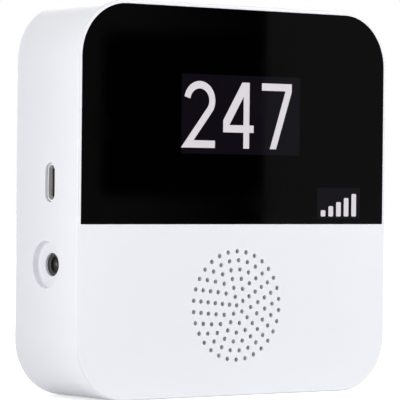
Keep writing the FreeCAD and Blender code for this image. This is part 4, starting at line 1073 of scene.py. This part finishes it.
@dataclass(frozen=True)
class DarkCard:
    """A dark studio card that only the polished window mirrors, sized by what it fills of the window."""

    left: float = -70.0
    right: float = 7.8
    low: float = 25.0
    high: float = 110.0
    middle: Point2 = (-16.4, 68.0)
    half_size: Point2 = (22.5, 17.2)
    softness: float = 2.6
    soft_span: Point2 = (0.4, 1.6)
    distance: float = 0.5
    edge_glow: float = 0.62
    fade_end: float = -42.0
    fade_low: float = 0.1

    def mirrored(self, across: float, height: float, reach: Vector | None = None) -> Vector:
        """Follow the camera's line of sight off one point of the window.

        Args:
            across: the point's place across the window, in millimetres.
            height: the point's height, in millimetres.
            reach: the middle of the card, whose plane ends the line; none gives that middle itself.

        Returns:
            Where the line ends, in metres.
        """
        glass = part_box("display_window")[0].y
        seen_from = Viewpoint().place()
        behind = Vector((seen_from.x, 2 * glass - seen_from.y, seen_from.z))
        point = Vector((across * MM, glass, height * MM))
        along = (point - behind).normalized()
        if reach is None:
            return point + along * self.distance
        facing = (reach - behind).normalized()
        return behind + along * ((reach - behind).dot(facing) / along.dot(facing))

    def build(self) -> None:
        """Hang the card, drawn in millimetres of the window from its middle."""
        x, z = self.middle
        middle = self.mirrored(x, z)
        across = self.mirrored(x + 1, z, middle) - middle
        up = self.mirrored(x, z + 1, middle) - middle
        bm = bmesh.new()
        corners = ((self.left, self.low), (self.right, self.low), (self.right, self.high),
                   (self.left, self.high))
        bm.faces.new([bm.verts.new((corner_x - x, corner_z - z, 0.0)) for corner_x, corner_z in corners])
        card = mesh_piece("dark_card", bm)
        card.matrix_world = Matrix((across, up, across.cross(up).normalized() * MM)).transposed().to_4x4()
        card.location = middle
        card.data.materials.append(self.material())
        card.visible_camera = card.visible_diffuse = card.visible_shadow = card.visible_transmission = False

    def material(self) -> bpy.types.Material:
        """Make the card black in a soft-edged field, and greyer around it towards the left.

        Returns:
            The card's material.
        """
        material, wire = blank_material("dark_card")
        axes = wire.add("SeparateXYZ", {0: wire.place()}).outputs
        outside = []
        for axis, half in zip("XY", self.half_size):
            away = wire.math("SUBTRACT", wire.math("ABSOLUTE", axes[axis]), half)
            beyond = wire.math("MAXIMUM", away, 0.0)
            outside.append(wire.times(beyond, beyond))
        reach = wire.math("SQRT", wire.math("ADD", *outside))
        start, end = (self.softness * share for share in self.soft_span)
        border = wire.ramp(reach, start, end)
        x = self.middle[0]
        fade = wire.ramp(axes["X"], self.right - x, self.fade_end - x, low=self.fade_low)
        strength = wire.times(wire.times(border, fade), self.edge_glow)
        glow = wire.add("Emission", {"Color": (1.0, 1.0, 1.0), "Strength": strength})
        wire.add("OutputMaterial", {"Surface": glow.outputs[0]})
        return material


@dataclass(frozen=True)
class Lamp:
    """One soft lamp."""

    name: str
    place: Point3
    wide: float
    tall: float
    power: float
    target: Point3 = (0.0, 0.0, 0.05)

    def build(self) -> None:
        """Hang the lamp, which lights the object but isn't seen itself."""
        light = bpy.data.lights.new(self.name, "AREA")
        light.shape = "RECTANGLE"
        light.size, light.size_y, light.energy = self.wide, self.tall, self.power
        thing = bpy.data.objects.new(self.name, light)
        bpy.context.scene.collection.objects.link(thing)
        thing.location = self.place
        thing.rotation_mode = "QUATERNION"
        thing.rotation_quaternion = (Vector(self.target) - Vector(self.place)).to_track_quat("-Z", "Y")
        thing.visible_camera = False


@dataclass
class Studio:
    """The floor, the white surroundings, the lamps and the camera."""

    lamps: tuple[Lamp, ...] = (
        Lamp("left_lamp", (-1.1, -0.15, 0.12), 0.22, 0.22, 4.28),
        Lamp("front_right_lamp", (0.8, -0.8, 0.55), 0.6, 0.6, 12.0),
        Lamp("top_lamp", (-0.4, -0.1, 1.1), 0.4, 0.4, 2.0),
        Lamp("rear_lamp", (0.0, 1.2, 0.5), 0.8, 0.8, 2.5),
        Lamp("rear_right_lamp", (0.7, 1.0, 0.4), 0.6, 0.6, 5.0),
        Lamp("near_strip", (-0.075, -0.024, 0.06), 0.016, 0.112, 0.0060, target=(0.0, -0.024, 0.06)),
    )
    ambient: float = 0.21
    floor_reach: float = 4.0
    floor_tone: Point2 = (0.87, 0.89)
    floor_glow: float = 0.54
    glow_span: Point2 = (0.12, 0.5)

    def build(self) -> None:
        """Make the whole studio."""
        self.make_world()
        self.make_floor()
        DarkCard().build()
        for lamp in self.lamps:
            lamp.build()
        Viewpoint().build()
        bpy.context.scene.view_settings.view_transform = "Standard"

    @staticmethod
    def seen_rays(wire: Wiring) -> Socket:
        """Tell rays that show the background from rays that carry light.

        Args:
            wire: the wiring to add the test to.

        Returns:
            The socket that is 1 for rays from the camera, a mirror or glass.
        """
        rays = wire.add("LightPath").outputs
        mirror = wire.math("MAXIMUM", rays["Is Glossy Ray"], rays["Is Transmission Ray"])
        return wire.math("MAXIMUM", rays["Is Camera Ray"], mirror)

    def make_world(self) -> None:
        """Surround the scene with plain white that gives only a dim light."""
        world = bpy.data.worlds.new("studio")
        bpy.context.scene.world = world
        world.use_nodes = True
        wire = Wiring(world.node_tree)
        light = wire.add("Background", {"Color": (1.0, 1.0, 1.0), "Strength": self.ambient})
        shown = wire.add("Background", {"Color": (1.0, 1.0, 1.0), "Strength": 1.0})
        mixed = wire.add("MixShader", {0: self.seen_rays(wire), 1: light.outputs[0], 2: shown.outputs[0]})
        wire.add("OutputWorld", {"Surface": mixed.outputs[0]})

    def make_floor(self) -> None:
        """Lay a pale floor that runs on into the white, and keeps the shadow."""
        bm = bmesh.new()
        bmesh.ops.create_circle(bm, cap_ends=True, segments=64, radius=self.floor_reach)
        floor = mesh_piece("studio_floor", bm)
        material, wire = blank_material("studio_floor")
        where = wire.place()
        tone = wire.ramp(wire.noise(where, scale=12.0), 0.0, 1.0, *self.floor_tone)
        paint = wire.add("CombineColor", {0: tone, 1: tone, 2: tone}).outputs[0]
        matt = wire.add("BsdfDiffuse", {"Color": paint})
        strength = wire.ramp(wire.length(where), *self.glow_span, low=self.floor_glow)
        shown = wire.times(strength, self.seen_rays(wire))
        white = wire.add("Emission", {"Color": (1.0, 1.0, 1.0), "Strength": shown})
        total = wire.add("AddShader", {0: matt.outputs[0], 1: white.outputs[0]})
        wire.add("OutputMaterial", {"Surface": total.outputs[0]})
        floor.data.materials.append(material)


def main() -> None:
    """Dress the receiver, make its marks and set up the studio."""
    logging.basicConfig(level=logging.INFO, format="%(message)s")
    for part in (Shell(), DisplayWindow(), SidePorts(), Speaker(), Electronics(), SideButtons(), Studio()):
        log.info("building %s", type(part).__name__)
        part.build()


if __name__ == "__main__":
    main()
